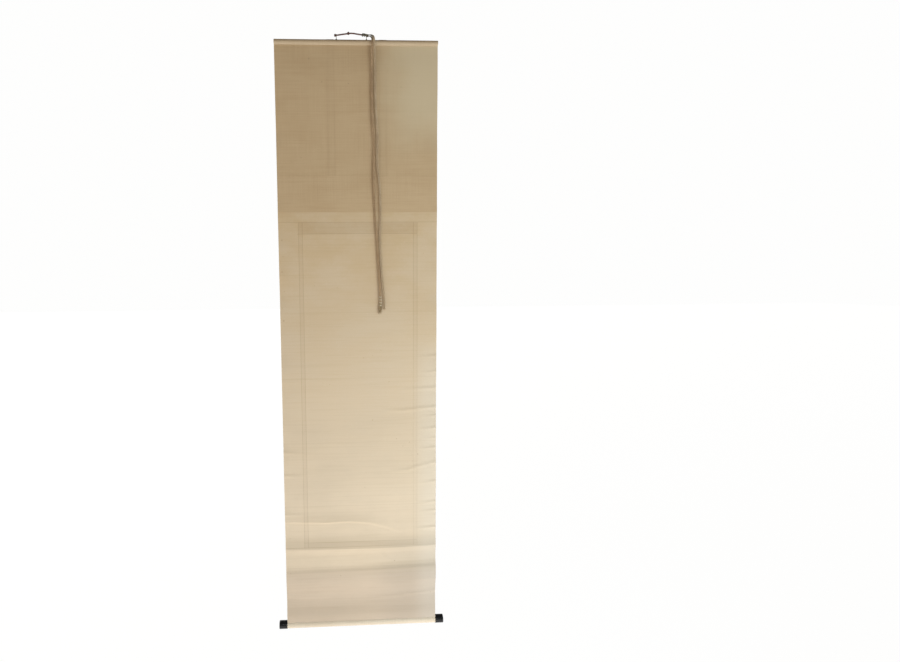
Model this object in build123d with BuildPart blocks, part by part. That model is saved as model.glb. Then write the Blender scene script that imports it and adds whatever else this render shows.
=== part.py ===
"""Hanging scroll: a picture sheet mounted in silk and paper, hung from a stave and weighted by a roller.

Frame: millimetres, +Z up. The picture side faces -Y and the backing paper faces +Y. The origin is the
hanging point: the underside of the hanging cord at its peak, where it sits on its hook.
Left and right are as seen from the picture side, so left is -X.
"""

import math
import os

from build123d import *

# ---- driving dimensions, mm ----
scroll_width = 430.0  # sheet, stave and roller, without the knobs
ply = 0.35  # one lined layer: silk with its lining, or the backing paper

picture_width = 301.0
picture_height = 869.0
side_strip_width = 10.5  # narrow strip at each side of the picture
upper_strip_height = 31.0
lower_strip_height = 14.0
heaven_height = 470.0  # upper silk, from the top edge of the stave to the seam
earth_height = 225.0  # lower silk, from its seam to the crease at the roller

cover_silk_height = 430.0  # protective silk on the back, below the stave
cover_silk_thickness = 0.3

stave_height = 13.0
stave_depth = 6.5
stave_lip = 1.5  # flat part of the stave's top and bottom, before its back curves

roller_diameter = 19.8
crease_angle = 35.0  # where the sheet meets the roller, from the roller's top towards the back
knob_step = 1.6  # a knob stands out this far past the roller's wood, all round
knob_length = 23.0
knob_outer_edge = 1.0
knob_inner_edge = 0.6
tenon_diameter = 10.0
tenon_length = 14.0
tenon_clearance = 0.05
socket_end_gap = 0.3

strip_width = 19.0  # the two front hanging strips
strip_thickness = 0.5
strip_length = 348.0
strip_spacing = 139.0  # between their middles
strip_tab = 1.5  # glued over the stave's top

hanging_offset = 13.0  # hanging point, to the right of the sheet's middle
peak_height = 14.7  # hanging point above the top edge of the wrapped stave
eyelet_spacing = 79.0
eyelet_inset = 2.4  # from the stave's flat front to the middle of the eyelets
eyelet_height = 10.0  # loop centre above the top edge of the wrapped stave
loop_radius = 2.9  # to the middle of the wire
wire_diameter = 1.4
shank_diameter = 1.3
shank_depth = 8.0  # below the top edge of the wrapped stave
shank_clearance = 0.05
washer_diameter = 4.0
washer_height = 0.5
washer_skirt = 1.6  # as far down as the washer's rim follows the curved wrap

cord_diameter = 2.6  # hanging cord
hook_radius = 6.0  # of the cord's middle line where it goes over its hook
cord_stub = 1.2  # from an eyelet's middle to the inner face of the knot outside it
end_knot_diameter = 5.2
end_knot_length = 4.0
peak_knot_diameter = 5.4
peak_knot_length = 4.6
peak_knot_place = 8.0  # along X from the hanging point
knot_clearance = 0.1
hitch_length = 5.5
hitch_depth = 10.4
hitch_height = 8.0
hitch_edge = 1.5
tail_diameter = 3.0  # a round tube with about the section of the flat braid

# ---- worked-out places ----
middle_x = -hanging_offset
sheet_y = -eyelet_inset  # between the front layer and the backing paper
stave_top_z = -peak_height
wrapped_height = stave_height + 2 * ply
wrapped_depth = stave_depth + ply
middle_height = upper_strip_height + picture_height + lower_strip_height
side_width = (scroll_width - picture_width - 2 * side_strip_width) / 2
roller_radius = roller_diameter / 2
wrapped_radius = roller_radius + ply
knob_radius = roller_radius + knob_step
crease_drop = heaven_height + middle_height + earth_height
roller_forward = wrapped_radius * math.sin(math.radians(crease_angle))
roller_drop = crease_drop + wrapped_radius * math.cos(math.radians(crease_angle))
roller_y = sheet_y - roller_forward
roller_z = stave_top_z - roller_drop
eyelet_x = eyelet_spacing / 2
loop_z = stave_top_z + eyelet_height

# Flat layers are drawn on face_plane: x across, y up, both from the middle of the stave's top edge.
face_plane = Plane(origin=(middle_x, sheet_y, stave_top_z), x_dir=(1, 0, 0), z_dir=(0, -1, 0))
# Long profiles are drawn on side_plane: x towards the back, y up, from the same point.
side_plane = Plane(origin=(middle_x, sheet_y, stave_top_z), x_dir=(0, 1, 0), z_dir=(1, 0, 0))

os.makedirs("parts", exist_ok=True)


def write(piece, name):
    """Label a finished piece and write it as its own STEP file."""
    piece.part.label = name
    export_step(piece.part, f"parts/{name}.step")


def front_layer(name, left, right, top, bottom):
    """A flat piece of the front layer, between two sides and two drops below the stave's top edge."""
    with BuildPart() as layer:
        with BuildSketch(face_plane):
            with Locations(((left + right) / 2, -(top + bottom) / 2)):
                Rectangle(right - left, bottom - top)
        extrude(amount=ply)
    write(layer, name)


def stave_outline(lip, depth, top, bottom):
    """Closed D outline: a flat front, short flats above and below, and a curved back."""
    Polyline((lip, bottom), (0, bottom), (0, top), (lip, top))
    ThreePointArc((lip, top), (depth, (top + bottom) / 2), (lip, bottom))


# ---- the mounted sheet, front layer ----
half_width = scroll_width / 2
half_picture = picture_width / 2
half_framed = half_picture + side_strip_width
picture_top = heaven_height + upper_strip_height
picture_bottom = picture_top + picture_height
earth_top = heaven_height + middle_height

front_layer("heaven_cloth", -half_width, half_width, 0, heaven_height)
front_layer("upper_strip", -half_framed, half_framed, heaven_height, picture_top)
front_layer("picture_paper", -half_picture, half_picture, picture_top, picture_bottom)
front_layer("lower_strip", -half_framed, half_framed, picture_bottom, earth_top)
front_layer("side_strip_left", -half_framed, -half_picture, picture_top, picture_bottom)
front_layer("side_strip_right", half_picture, half_framed, picture_top, picture_bottom)
front_layer("pillar_left", -half_width, side_width - half_width, heaven_height, earth_top)
front_layer("pillar_right", half_width - side_width, half_width, heaven_height, earth_top)

# The lower silk and the backing paper end where they meet the cloth round the roller.
with BuildPart() as earth_cloth:
    with BuildSketch(side_plane):
        with Locations((-ply / 2, -(earth_top + roller_drop) / 2)):
            Rectangle(ply, roller_drop - earth_top)
        with Locations((-roller_forward, -roller_drop)):
            Circle(wrapped_radius, mode=Mode.SUBTRACT)
    extrude(amount=half_width, both=True)
write(earth_cloth, "earth_cloth")

with BuildPart() as backing_paper:
    with BuildSketch(side_plane):
        with Locations((ply / 2, -(wrapped_height + roller_drop) / 2)):
            Rectangle(ply, roller_drop - wrapped_height)
        with Locations((-roller_forward, -roller_drop)):
            Circle(wrapped_radius, mode=Mode.SUBTRACT)
    extrude(amount=half_width, both=True)
write(backing_paper, "backing_paper")

with BuildPart() as cover_silk:
    with BuildSketch(side_plane):
        with Locations((ply + cover_silk_thickness / 2, -wrapped_height - cover_silk_height / 2)):
            Rectangle(cover_silk_thickness, cover_silk_height)
    extrude(amount=half_width, both=True)
write(cover_silk, "cover_silk")

# ---- the stave and the silk wrapped round its back ----
with BuildPart() as top_stave:
    with BuildSketch(side_plane):
        with BuildLine():
            stave_outline(stave_lip, stave_depth, -ply, ply - wrapped_height)
        make_face()
    extrude(amount=half_width, both=True)
    with BuildSketch(Plane.XY.offset(stave_top_z)):
        with Locations((-eyelet_x, 0), (eyelet_x, 0)):
            Circle(shank_diameter / 2 + shank_clearance)
    extrude(amount=-shank_depth - shank_clearance, mode=Mode.SUBTRACT)
write(top_stave, "top_stave")

with BuildPart() as stave_wrap:
    with BuildSketch(side_plane):
        with BuildLine():
            stave_outline(stave_lip, wrapped_depth, 0, -wrapped_height)
        make_face()
        with BuildLine():
            stave_outline(stave_lip, stave_depth, -ply, ply - wrapped_height)
        make_face(mode=Mode.SUBTRACT)
    extrude(amount=half_width, both=True)
    with BuildSketch(Plane.XY.offset(stave_top_z)):
        with Locations((-eyelet_x, 0), (eyelet_x, 0)):
            Circle(shank_diameter / 2 + shank_clearance)
    extrude(amount=-washer_skirt, mode=Mode.SUBTRACT)
write(stave_wrap, "stave_wrap")

# ---- the roller, the silk wrapped round it, and its lacquered knobs ----
with BuildPart() as roller:
    with BuildSketch(side_plane):
        with Locations((-roller_forward, -roller_drop)):
            Circle(roller_radius)
    extrude(amount=half_width, both=True)
    with BuildSketch(side_plane):
        with Locations((-roller_forward, -roller_drop)):
            Circle(tenon_diameter / 2)
    extrude(amount=half_width + tenon_length, both=True)
write(roller, "roller")

with BuildPart() as roller_wrap:
    with BuildSketch(side_plane):
        with Locations((-roller_forward, -roller_drop)):
            Circle(wrapped_radius)
            Circle(roller_radius, mode=Mode.SUBTRACT)
    extrude(amount=half_width, both=True)
write(roller_wrap, "roller_wrap")

for side, name in ((-1, "knob_left"), (1, "knob_right")):
    knob_plane = Plane(origin=(middle_x + side * half_width, roller_y, roller_z), z_dir=(side, 0, 0))
    with BuildPart() as knob:
        with BuildSketch(knob_plane):
            Circle(knob_radius)
        extrude(amount=knob_length)
        rims = knob.edges().filter_by(GeomType.CIRCLE).sort_by(Axis.X)
        outer_rim = rims[0] if side < 0 else rims[-1]
        inner_rim = rims[-1] if side < 0 else rims[0]
        fillet(outer_rim, knob_outer_edge)
        fillet(inner_rim, knob_inner_edge)
        with BuildSketch(knob_plane):
            Circle(tenon_diameter / 2 + tenon_clearance)
        extrude(amount=tenon_length + socket_end_gap, mode=Mode.SUBTRACT)
    write(knob, name)

# ---- the two front hanging strips, glued over the stave's top ----
for side, name in ((-1, "hanging_strip_left"), (1, "hanging_strip_right")):
    strip_plane = Plane(
        origin=(middle_x + side * strip_spacing / 2, sheet_y, stave_top_z),
        x_dir=(0, 1, 0),
        z_dir=(1, 0, 0),
    )
    with BuildPart() as hanging_strip:
        with BuildSketch(strip_plane):
            with BuildLine():
                Polyline(
                    (-ply, -strip_length),
                    (-ply, 0),
                    (strip_tab, 0),
                    (strip_tab, strip_thickness),
                    (-ply - strip_thickness, strip_thickness),
                    (-ply - strip_thickness, -strip_length),
                    close=True,
                )
            make_face()
        extrude(amount=strip_width / 2, both=True)
    write(hanging_strip, name)

# ---- eyelets: a wire loop on a shank driven into the stave, with a washer under it ----
for side, word in ((-1, "left"), (1, "right")):
    eyelet_place = (side * eyelet_x, 0)
    loop_centre = (side * eyelet_x, 0, loop_z)
    with BuildPart() as eyelet:
        with BuildSketch(Plane(origin=loop_centre, x_dir=(1, 0, 0), z_dir=(0, -1, 0))):
            with Locations((0, loop_radius)):
                Circle(wire_diameter / 2)
        revolve(axis=Axis(loop_centre, (1, 0, 0)))
        shank_top = eyelet_height - loop_radius - wire_diameter / 8
        with BuildSketch(Plane.XY.offset(stave_top_z - shank_depth)):
            with Locations(eyelet_place):
                Circle(shank_diameter / 2)
        extrude(amount=shank_depth + shank_top)
    write(eyelet, f"eyelet_{word}")

    with BuildPart() as washer:
        with BuildSketch(Plane.XY.offset(stave_top_z + washer_height)):
            with Locations(eyelet_place):
                Circle(washer_diameter / 2)
                Circle(shank_diameter / 2 + shank_clearance, mode=Mode.SUBTRACT)
        extrude(amount=-washer_height - washer_skirt)
        with BuildSketch(side_plane):
            with BuildLine():
                stave_outline(stave_lip, wrapped_depth, 0, -wrapped_height)
            make_face()
        extrude(amount=half_width, both=True, mode=Mode.SUBTRACT)
    write(washer, f"eyelet_washer_{word}")

# ---- the hanging cord, through both loops, with a knot outside each and one beside its peak ----
cord_radius = cord_diameter / 2
peak = Vector(0, 0, cord_radius)
left_end = Vector(-eyelet_x - cord_stub, 0, loop_z)
right_end = Vector(eyelet_x + cord_stub, 0, loop_z)
leftwards = (left_end - peak).normalized()
rightwards = (right_end - peak).normalized()

with BuildPart() as hanging_cord:
    with BuildLine() as hanging_route:
        FilletPolyline(left_end, peak, right_end, radius=hook_radius)
    with BuildSketch(Plane(origin=left_end, z_dir=-leftwards)):
        Circle(cord_radius)
    sweep()
write(hanging_cord, "hanging_cord")

for end, outwards, name in (
    (left_end, leftwards, "end_knot_left"),
    (right_end, rightwards, "end_knot_right"),
):
    with BuildPart() as end_knot:
        with BuildSketch(Plane(origin=end, z_dir=outwards)):
            Circle(end_knot_diameter / 2)
        extrude(amount=end_knot_length)
        fillet(end_knot.edges().filter_by(GeomType.CIRCLE), end_knot_length / 3)
    write(end_knot, name)

with BuildPart() as peak_knot:
    knot_middle = peak + rightwards * peak_knot_place
    knot_plane = Plane(origin=knot_middle - rightwards * (peak_knot_length / 2), z_dir=rightwards)
    with BuildSketch(knot_plane):
        Circle(peak_knot_diameter / 2)
    extrude(amount=peak_knot_length)
    fillet(peak_knot.edges().filter_by(GeomType.CIRCLE), peak_knot_length / 4)
    with BuildSketch(knot_plane):
        Circle(cord_radius + knot_clearance)
    extrude(amount=peak_knot_length, mode=Mode.SUBTRACT)
write(peak_knot, "peak_knot")

# ---- the winding cord: hitched to the hanging cord, its two tails hang behind the stave ----
inner_tail_route = [
    (-35.5, 6.4, -6.0),
    (-42.5, 6.4, -6.0),
    (-49.5, 7.6, -7.2),
    (-54.3, 9.3, -13.0),
    (-54.7, 9.5, -22.5),
    (-53.4, 8.8, -40.5),
    (-52.7, 7.6, -72.0),
    (-52.2, 6.7, -115.0),
    (-52.9, 6.2, -168.0),
    (-54.2, 6.5, -221.0),
    (-57.6, 6.2, -268.0),
    (-57.0, 6.8, -322.0),
    (-56.3, 6.1, -378.0),
    (-57.0, 6.5, -430.0),
    (-59.2, 6.1, -480.0),
    (-64.2, 6.6, -528.0),
    (-66.6, 6.0, -584.0),
    (-69.0, 6.3, -637.0),
    (-72.4, 5.9, -687.0),
    (-72.0, 5.9, -727.7),
]
outer_tail_route = [
    (-35.5, 6.4, -2.6),
    (-43.5, 6.4, -2.6),
    (-52.0, 8.6, -3.6),
    (-57.9, 11.3, -9.2),
    (-58.8, 11.6, -19.5),
    (-60.3, 10.4, -38.5),
    (-61.4, 8.6, -72.0),
    (-61.2, 7.4, -115.0),
    (-61.6, 6.6, -168.0),
    (-65.0, 6.9, -221.0),
    (-67.4, 6.3, -270.0),
    (-64.8, 6.9, -326.0),
    (-70.9, 6.4, -378.0),
    (-73.4, 6.8, -430.0),
    (-73.0, 6.2, -480.0),
    (-71.2, 6.7, -530.0),
    (-73.9, 6.2, -586.0),
    (-77.3, 6.4, -637.0),
    (-81.9, 6.0, -684.0),
    (-82.6, 6.1, -719.3),
]


def corner_radii(route):
    """At each corner, the largest arc that its two runs allow: 0.45 of the shorter one."""
    radii = []
    for before, corner, after in zip(route, route[1:], route[2:]):
        run_in = Vector(*corner) - Vector(*before)
        run_out = Vector(*after) - Vector(*corner)
        shorter = min(run_in.length, run_out.length)
        half_turn = math.radians(run_in.get_angle(run_out)) / 2
        radii.append(0.45 * shorter / math.tan(half_turn))
    return radii


tails = (("winding_cord_inner", inner_tail_route), ("winding_cord_outer", outer_tail_route))
for name, route in tails:
    radii = corner_radii(route)
    with BuildPart() as tail:
        with BuildLine() as tail_line:
            FilletPolyline(*route, radius=radii)
        with BuildSketch(Plane(origin=route[0], z_dir=(-1, 0, 0))):
            Circle(tail_diameter / 2)
        sweep()
    write(tail, name)
    tail_length = tail_line.wires()[0].length
    tube_share = tail.part.volume / (math.pi * tail_diameter**2 / 4 * tail_length)
    print(name, "length", round(tail_length, 1), "volume against section", round(tube_share, 4))
    print(name, "corner radii", [round(radius, 1) for radius in radii])

# The hitch is a lump round the hanging cord. The tails leave its outer end, clear of the eyelet.
hitch_face_x = inner_tail_route[0][0]
tails_y = inner_tail_route[0][1]
tails_z = (inner_tail_route[0][2] + outer_tail_route[0][2]) / 2
with BuildPart() as winding_hitch:
    hitch_middle_y = tails_y + tail_diameter / 2 + hitch_edge / 2 - hitch_depth / 2
    with BuildSketch(Plane(origin=(hitch_face_x, hitch_middle_y, tails_z), x_dir=(0, 1, 0), z_dir=(1, 0, 0))):
        RectangleRounded(hitch_depth, hitch_height, hitch_edge)
    extrude(amount=hitch_length)
    bore_start = peak + leftwards * (eyelet_x / 2)
    with BuildSketch(Plane(origin=bore_start, z_dir=leftwards)):
        Circle(cord_radius + knot_clearance)
    extrude(amount=eyelet_x / 2, mode=Mode.SUBTRACT)
write(winding_hitch, "winding_hitch")
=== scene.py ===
# %% [markdown]
# # A hanging scroll, seen from its back
# A picture sheet is mounted in silk and paper. It hangs from a thin stave at its top and a roller with two
# black knobs keeps it straight. This lesson loads the measured frame of the scroll, stands a camera behind
# it, hangs its cords, and then builds and finishes every piece round the frame. All lengths are in metres.

# %% Load the fixed frame
import math

import bmesh
import bpy
import numpy as np
from mathutils import Matrix, Vector


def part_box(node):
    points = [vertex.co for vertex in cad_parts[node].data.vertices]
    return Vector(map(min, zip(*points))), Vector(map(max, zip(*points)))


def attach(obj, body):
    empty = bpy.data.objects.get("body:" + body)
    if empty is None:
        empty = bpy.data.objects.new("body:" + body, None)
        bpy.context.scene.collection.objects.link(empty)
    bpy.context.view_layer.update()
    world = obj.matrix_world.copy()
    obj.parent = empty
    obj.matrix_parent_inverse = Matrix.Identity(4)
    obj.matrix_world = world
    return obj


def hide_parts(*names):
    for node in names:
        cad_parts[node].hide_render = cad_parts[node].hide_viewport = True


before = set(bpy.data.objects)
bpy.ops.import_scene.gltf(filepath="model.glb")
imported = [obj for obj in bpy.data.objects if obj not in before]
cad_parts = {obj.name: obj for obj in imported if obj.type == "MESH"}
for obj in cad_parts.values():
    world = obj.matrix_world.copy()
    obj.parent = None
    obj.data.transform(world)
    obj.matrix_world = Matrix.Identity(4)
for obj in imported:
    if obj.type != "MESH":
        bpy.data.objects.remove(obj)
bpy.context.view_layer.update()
MM = 0.001

# %% [markdown]
# The camera stands behind the scroll, level with the middle of the upper half, and looks very slightly
# down. A wide lens close to the sheet makes the roller end look narrower than the stave end. Sliding the
# picture sideways with the shift keeps the camera square to the sheet, where turning it would not.

# %% Stand the camera behind the sheet
camera_data = bpy.data.cameras.new("back_camera")
camera_data.sensor_width = 36.0
camera_data.lens = 21.2
camera_data.shift_x = 0.102
camera = bpy.data.objects.new("back_camera", camera_data)
bpy.context.scene.collection.objects.link(camera)
facing = Matrix.Rotation(math.radians(177.25), 4, "Z")
lean = Matrix.Rotation(math.radians(84.55), 4, "X")
roll = Matrix.Rotation(math.radians(-0.56), 4, "Z")
camera.matrix_world = Matrix.Translation((0.0592, 1.4499, -0.6414)) @ facing @ lean @ roll
bpy.context.scene.camera = camera
print("camera at", [round(v, 3) for v in camera.matrix_world.translation], "lens", camera_data.lens)

# %% [markdown]
# The sizes that the pieces share are read from the frame, so that every piece lands where the frame has it.
# Two short words are used all through: *across* is millimetres to the right of the sheet's middle as seen
# from the back, and *down* is millimetres below the stave's top edge.

# %% Measure the frame
stave_low, stave_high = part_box("stave_wrap")
sheet_low, sheet_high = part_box("backing_paper")
cover_low, cover_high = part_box("cover_silk")
roller_low, roller_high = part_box("roller_wrap")
middle_x = (sheet_low.x + sheet_high.x) / 2
stave_top = stave_high.z
sheet_y = sheet_low.y
ply = sheet_high.y - sheet_low.y
roller_axis = ((roller_low.y + roller_high.y) / 2, (roller_low.z + roller_high.z) / 2)
roller_radius = (roller_high.z - roller_low.z) / 2
crease_z = roller_axis[1] + math.sqrt(roller_radius**2 - (sheet_y - roller_axis[0]) ** 2)
sheet_foot = crease_z - 0.4 * MM


def to_x(across):
    return middle_x - across * MM


def to_z(down):
    return stave_top - down * MM


# %% Helpers for meshes
def add_object(name, data):
    made = bpy.data.objects.new(name, data)
    bpy.context.scene.collection.objects.link(made)
    return made


def link_mesh(name, vertices, faces, smooth_angle=40.0):
    """Make a mesh object at the origin, shaded smooth except over edges sharper than the angle."""
    mesh = bpy.data.meshes.new(name)
    mesh.from_pydata([tuple(v) for v in vertices], [], [tuple(f) for f in faces])
    mesh.validate()
    mesh.shade_smooth()
    mesh.set_sharp_from_angle(angle=math.radians(smooth_angle))
    return add_object(name, mesh)


def face_outwards(piece):
    """Merge doubles and turn every face outwards."""
    shape = bmesh.new()
    shape.from_mesh(piece.data)
    bmesh.ops.remove_doubles(shape, verts=shape.verts, dist=1e-6)
    bmesh.ops.recalc_face_normals(shape, faces=shape.faces)
    shape.to_mesh(piece.data)
    shape.free()


def finish_piece(piece, material, slot, *nodes):
    """Give a piece its finish, let it ride on the scroll and hide the nodes it stands for."""
    if material is not None:
        piece.data.materials.clear()
        piece.data.materials.append(material)
    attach(piece, "root")
    if nodes:
        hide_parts(*nodes)
    print(piece.name, "faces", len(piece.data.polygons) if piece.type == "MESH" else "curve")
    return piece


# %% Helpers for node trees
DARKEN = "MULTIPLY"


class Wire:
    """An output socket. Adding or multiplying wires makes the Math nodes, so a mask reads as a sum."""

    def __init__(self, tree, socket):
        self.tree, self.socket = tree, socket

    def to(self, operation, *others):
        return calc(self.tree, operation, self, *others)

    def __add__(self, other):
        return self.to("ADD", other)

    def __sub__(self, other):
        return self.to("SUBTRACT", other)

    def __rsub__(self, other):
        return calc(self.tree, "SUBTRACT", other, self)

    def __mul__(self, other):
        return self.to("MULTIPLY", other)

    def __truediv__(self, other):
        return self.to("DIVIDE", other)

    __radd__, __rmul__ = __add__, __mul__


def plug(tree, socket, value):
    """Join a wire to an input, or set the input to a plain value. A colour may leave out its alpha."""
    source = getattr(value, "socket", value)
    if isinstance(source, bpy.types.NodeSocket):
        tree.links.new(source, socket)
    elif socket.type == "RGBA" and len(value) == 3:
        socket.default_value = (*value, 1.0)
    else:
        socket.default_value = value


def add_node(tree, kind, inputs=None, **settings):
    """Add a node, set its choices, then its inputs."""
    made = tree.nodes.new(kind)
    for key, value in settings.items():
        setattr(made, key, value)
    for key, value in (inputs or {}).items():
        plug(tree, made.inputs[key], value)
    return made


def wire(tree, kind, output=0, inputs=None, **settings):
    """Add a node and give back one of its outputs."""
    return Wire(tree, add_node(tree, kind, inputs, **settings).outputs[output])


def calc(tree, operation, *values):
    """One Math node on wires or numbers."""
    return wire(tree, "ShaderNodeMath", 0, dict(enumerate(values)), operation=operation)


# %% Helpers for masks and colours
def ramp(value, low, high, smooth=True):
    """0 where the value is at low, 1 where it is at high."""
    return wire(
        value.tree, "ShaderNodeMapRange", "Result",
        {"Value": value, "From Min": low, "From Max": high, "To Min": 0.0, "To Max": 1.0},
        interpolation_type="SMOOTHSTEP" if smooth else "LINEAR",
    )


def blend(share, first, second, mode="MIX"):
    """Mix two colours by a mask. DARKEN multiplies the first by the second."""
    return wire(share.tree, "ShaderNodeMix", 2, {0: share, 6: first, 7: second}, data_type="RGBA", blend_type=mode)


def lay(colour, *coats):
    """Lay coats over a colour in turn. Each is a mask and a tone, and DARKEN where the tone multiplies."""
    for mask, tone, *mode in coats:
        colour = blend(mask, colour, tone, *mode)
    return colour


def object_axes(tree):
    """The x, y and z of each place, in metres."""
    place = wire(tree, "ShaderNodeTexCoord", "Object")
    return [Wire(tree, socket) for socket in add_node(tree, "ShaderNodeSeparateXYZ", {0: place}).outputs]


def mask_named(tree, name):
    return wire(tree, "ShaderNodeAttribute", "Fac", attribute_name=name)


def noise(tree, size, detail=3.0, rough=0.5, shift=(0, 0, 0)):
    """Noise on Object coordinates. Size is how many blobs there are to a metre along x, y and z."""
    place = wire(tree, "ShaderNodeTexCoord", "Object")
    scaled = wire(tree, "ShaderNodeMapping", 0, {"Vector": place, "Scale": size, "Location": shift})
    inputs = {"Vector": scaled, "Scale": 1.0, "Detail": detail, "Roughness": rough}
    return wire(tree, "ShaderNodeTexNoise", "Fac", inputs)


def bumped(height, strength, depth):
    return wire(
        height.tree, "ShaderNodeBump", "Normal", {"Height": height, "Strength": strength, "Distance": depth}
    )


# %% Helpers for groups and materials
def wires_of(tree, sockets):
    return {socket.name: Wire(tree, socket) for socket in sockets}


def new_group(name, **inputs):
    """An empty shader group with named number inputs."""
    tree = bpy.data.node_groups.new(name, "ShaderNodeTree")
    for label, value in inputs.items():
        socket = tree.interface.new_socket(
            label.replace("_", " "), in_out="INPUT", socket_type="NodeSocketFloat"
        )
        socket.default_value = value
    return tree, wires_of(tree, tree.nodes.new("NodeGroupInput").outputs)


def put_out(tree, **values):
    """Give a group its named outputs."""
    for label in values:
        tree.interface.new_socket(label, in_out="OUTPUT", socket_type="NodeSocketFloat")
    result = tree.nodes.new("NodeGroupOutput").inputs
    for label, value in values.items():
        plug(tree, result[label], value)


def use_group(tree, group, **values):
    """Place a group in a material with the material's own values."""
    made = tree.nodes.new("ShaderNodeGroup")
    made.node_tree = group
    for label, value in values.items():
        plug(tree, made.inputs[label.replace("_", " ")], value)
    return wires_of(tree, made.outputs)


def new_material(name):
    material = bpy.data.materials.new(name)
    material.use_nodes = True
    return material, material.node_tree


def set_shader(tree, **values):
    """Join wires to the shader's sockets, and set plain numbers on them."""
    for label, value in values.items():
        plug(tree, tree.nodes["Principled BSDF"].inputs[label.replace("_", " ")], value)


def painted(material):
    """A finished material's tree, and the colour that its shader has so far."""
    tree = material.node_tree
    return tree, Wire(tree, tree.nodes["Principled BSDF"].inputs["Base Color"].links[0].from_socket)


# %% [markdown]
# ## Effects that several finishes share
# Silk, paper, wood and cord each show the same few things at their own scale: a weave, paper fibres, the
# brown spots and streaks of age, and stains. Each effect is one shader group. A group only gives masks and
# heights, and each finish decides what to do with them.

# %% Weave
weave_group, given = new_group("Woven threads", Across=2000.0, Down=2000.0)
x, y, z = object_axes(weave_group)
warp, weft = ((place * math.pi).to("SINE").to("ABSOLUTE") for place in (x * given["Across"], z * given["Down"]))
slubs = noise(weave_group, (700.0, 1.0, 9.0), 2.0) + noise(weave_group, (9.0, 1.0, 700.0), 2.0)
put_out(weave_group, Height=warp * weft, Slub=slubs * 0.5)

# %% Paper fibres: thin lines where a noise passes its middle, broken up by a second noise
fibre_group, given = new_group("Paper fibres", Size=1.0)
fibre_lines = []
for size, line_shift, gap_shift in (
    ((160.0, 1.0, 420.0), (0, 0, 0), (0, 0, 0)),
    ((400.0, 1.0, 170.0), (3.1, 0, 7.7), (5.3, 0, 1.9)),
):
    off_middle = (noise(fibre_group, size, 1.0, 0.4, line_shift) - 0.5).to("ABSOLUTE")
    here = ramp(noise(fibre_group, (150.0, 1.0, 150.0), 1.0, 0.5, gap_shift), 0.56, 0.64)
    fibre_lines.append((1.0 - ramp(off_middle, 0.0, 0.03)) * here)
fibres = fibre_lines[0].to("MAXIMUM", fibre_lines[1])
pulp = noise(fibre_group, (900.0, 1.0, 900.0), 3.0, 0.6)
put_out(fibre_group, Fibres=fibres * given["Size"], Height=fibres * 0.35 + pulp)

# %% Age: soft mottling, rolled-in streaks and brown specks
age_group, given = new_group("Age", Specks=1.0)
place = wire(age_group, "ShaderNodeTexCoord", "Object")
cells = add_node(age_group, "ShaderNodeTexVoronoi", {"Vector": place, "Scale": 42.0, "Randomness": 1.0})
speck_heart = 1.0 - ramp(Wire(age_group, cells.outputs["Distance"]), 0.02, 0.075)
cell_choice = wire(age_group, "ShaderNodeSeparateColor", 0, {0: Wire(age_group, cells.outputs["Color"])})
put_out(
    age_group,
    Mottle=noise(age_group, (7.0, 1.0, 11.0), 4.0, 0.6),
    Streaks=noise(age_group, (5.0, 1.0, 210.0), 3.0, 0.6),
    Specks=speck_heart * ramp(cell_choice, 0.86, 0.97) * given["Specks"],
)

# %% One round stain with a ragged rim
stain_group, given = new_group("Stain", Place_x=0.0, Place_z=0.0, Size=0.002)
x, y, z = object_axes(stain_group)
ragged = (noise(stain_group, (900.0, 900.0, 900.0), 2.0, 0.6) - 0.5) * (2.2 * MM)
off_x, off_z = x - given["Place x"], z - given["Place z"]
far = (off_x * off_x + off_z * off_z).to("SQRT") + ragged
put_out(stain_group, Stain=ramp(far, given["Size"], given["Size"] * 0.35))

# %% Wood grain along x
grain_group, given = new_group("Wood grain", Rings=260.0)
place = wire(grain_group, "ShaderNodeTexCoord", "Object")
drawn = wire(grain_group, "ShaderNodeMapping", 0, {"Vector": place, "Scale": (0.06, 1.0, 1.0)})
bent = wire(grain_group, "ShaderNodeTexNoise", "Fac", {"Vector": drawn, "Scale": 90.0, "Detail": 3.0})
pores = noise(grain_group, (30.0, 2600.0, 2600.0), 2.0)
put_out(grain_group, Grain=(bent * given["Rings"] * 0.06).to("FRACT"), Pores=pores)

# %% Threads of a cord, with its shade from strand to strand and the grime at its start
strand_group, given = new_group("Cord threads", Threads=5200.0)
along, strand, turned = (mask_named(strand_group, label) for label in ("along", "strand", "turned"))
slant = along * given["Threads"] + turned * 12.0
key = wire(strand_group, "ShaderNodeCombineXYZ", 0, {0: along * 45.0, 1: strand * 31.0})
put_out(
    strand_group,
    Shade=wire(strand_group, "ShaderNodeTexNoise", "Fac", {"Vector": key, "Scale": 1.0, "Detail": 3.0}),
    Height=slant.to("SINE").to("ABSOLUTE"),
    Dirt=noise(strand_group, (30.0, 30.0, 30.0), 3.0),
    Start=ramp(along, 0.034, 0.014),
)
print("shader groups:", [group.name for group in bpy.data.node_groups])
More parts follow.
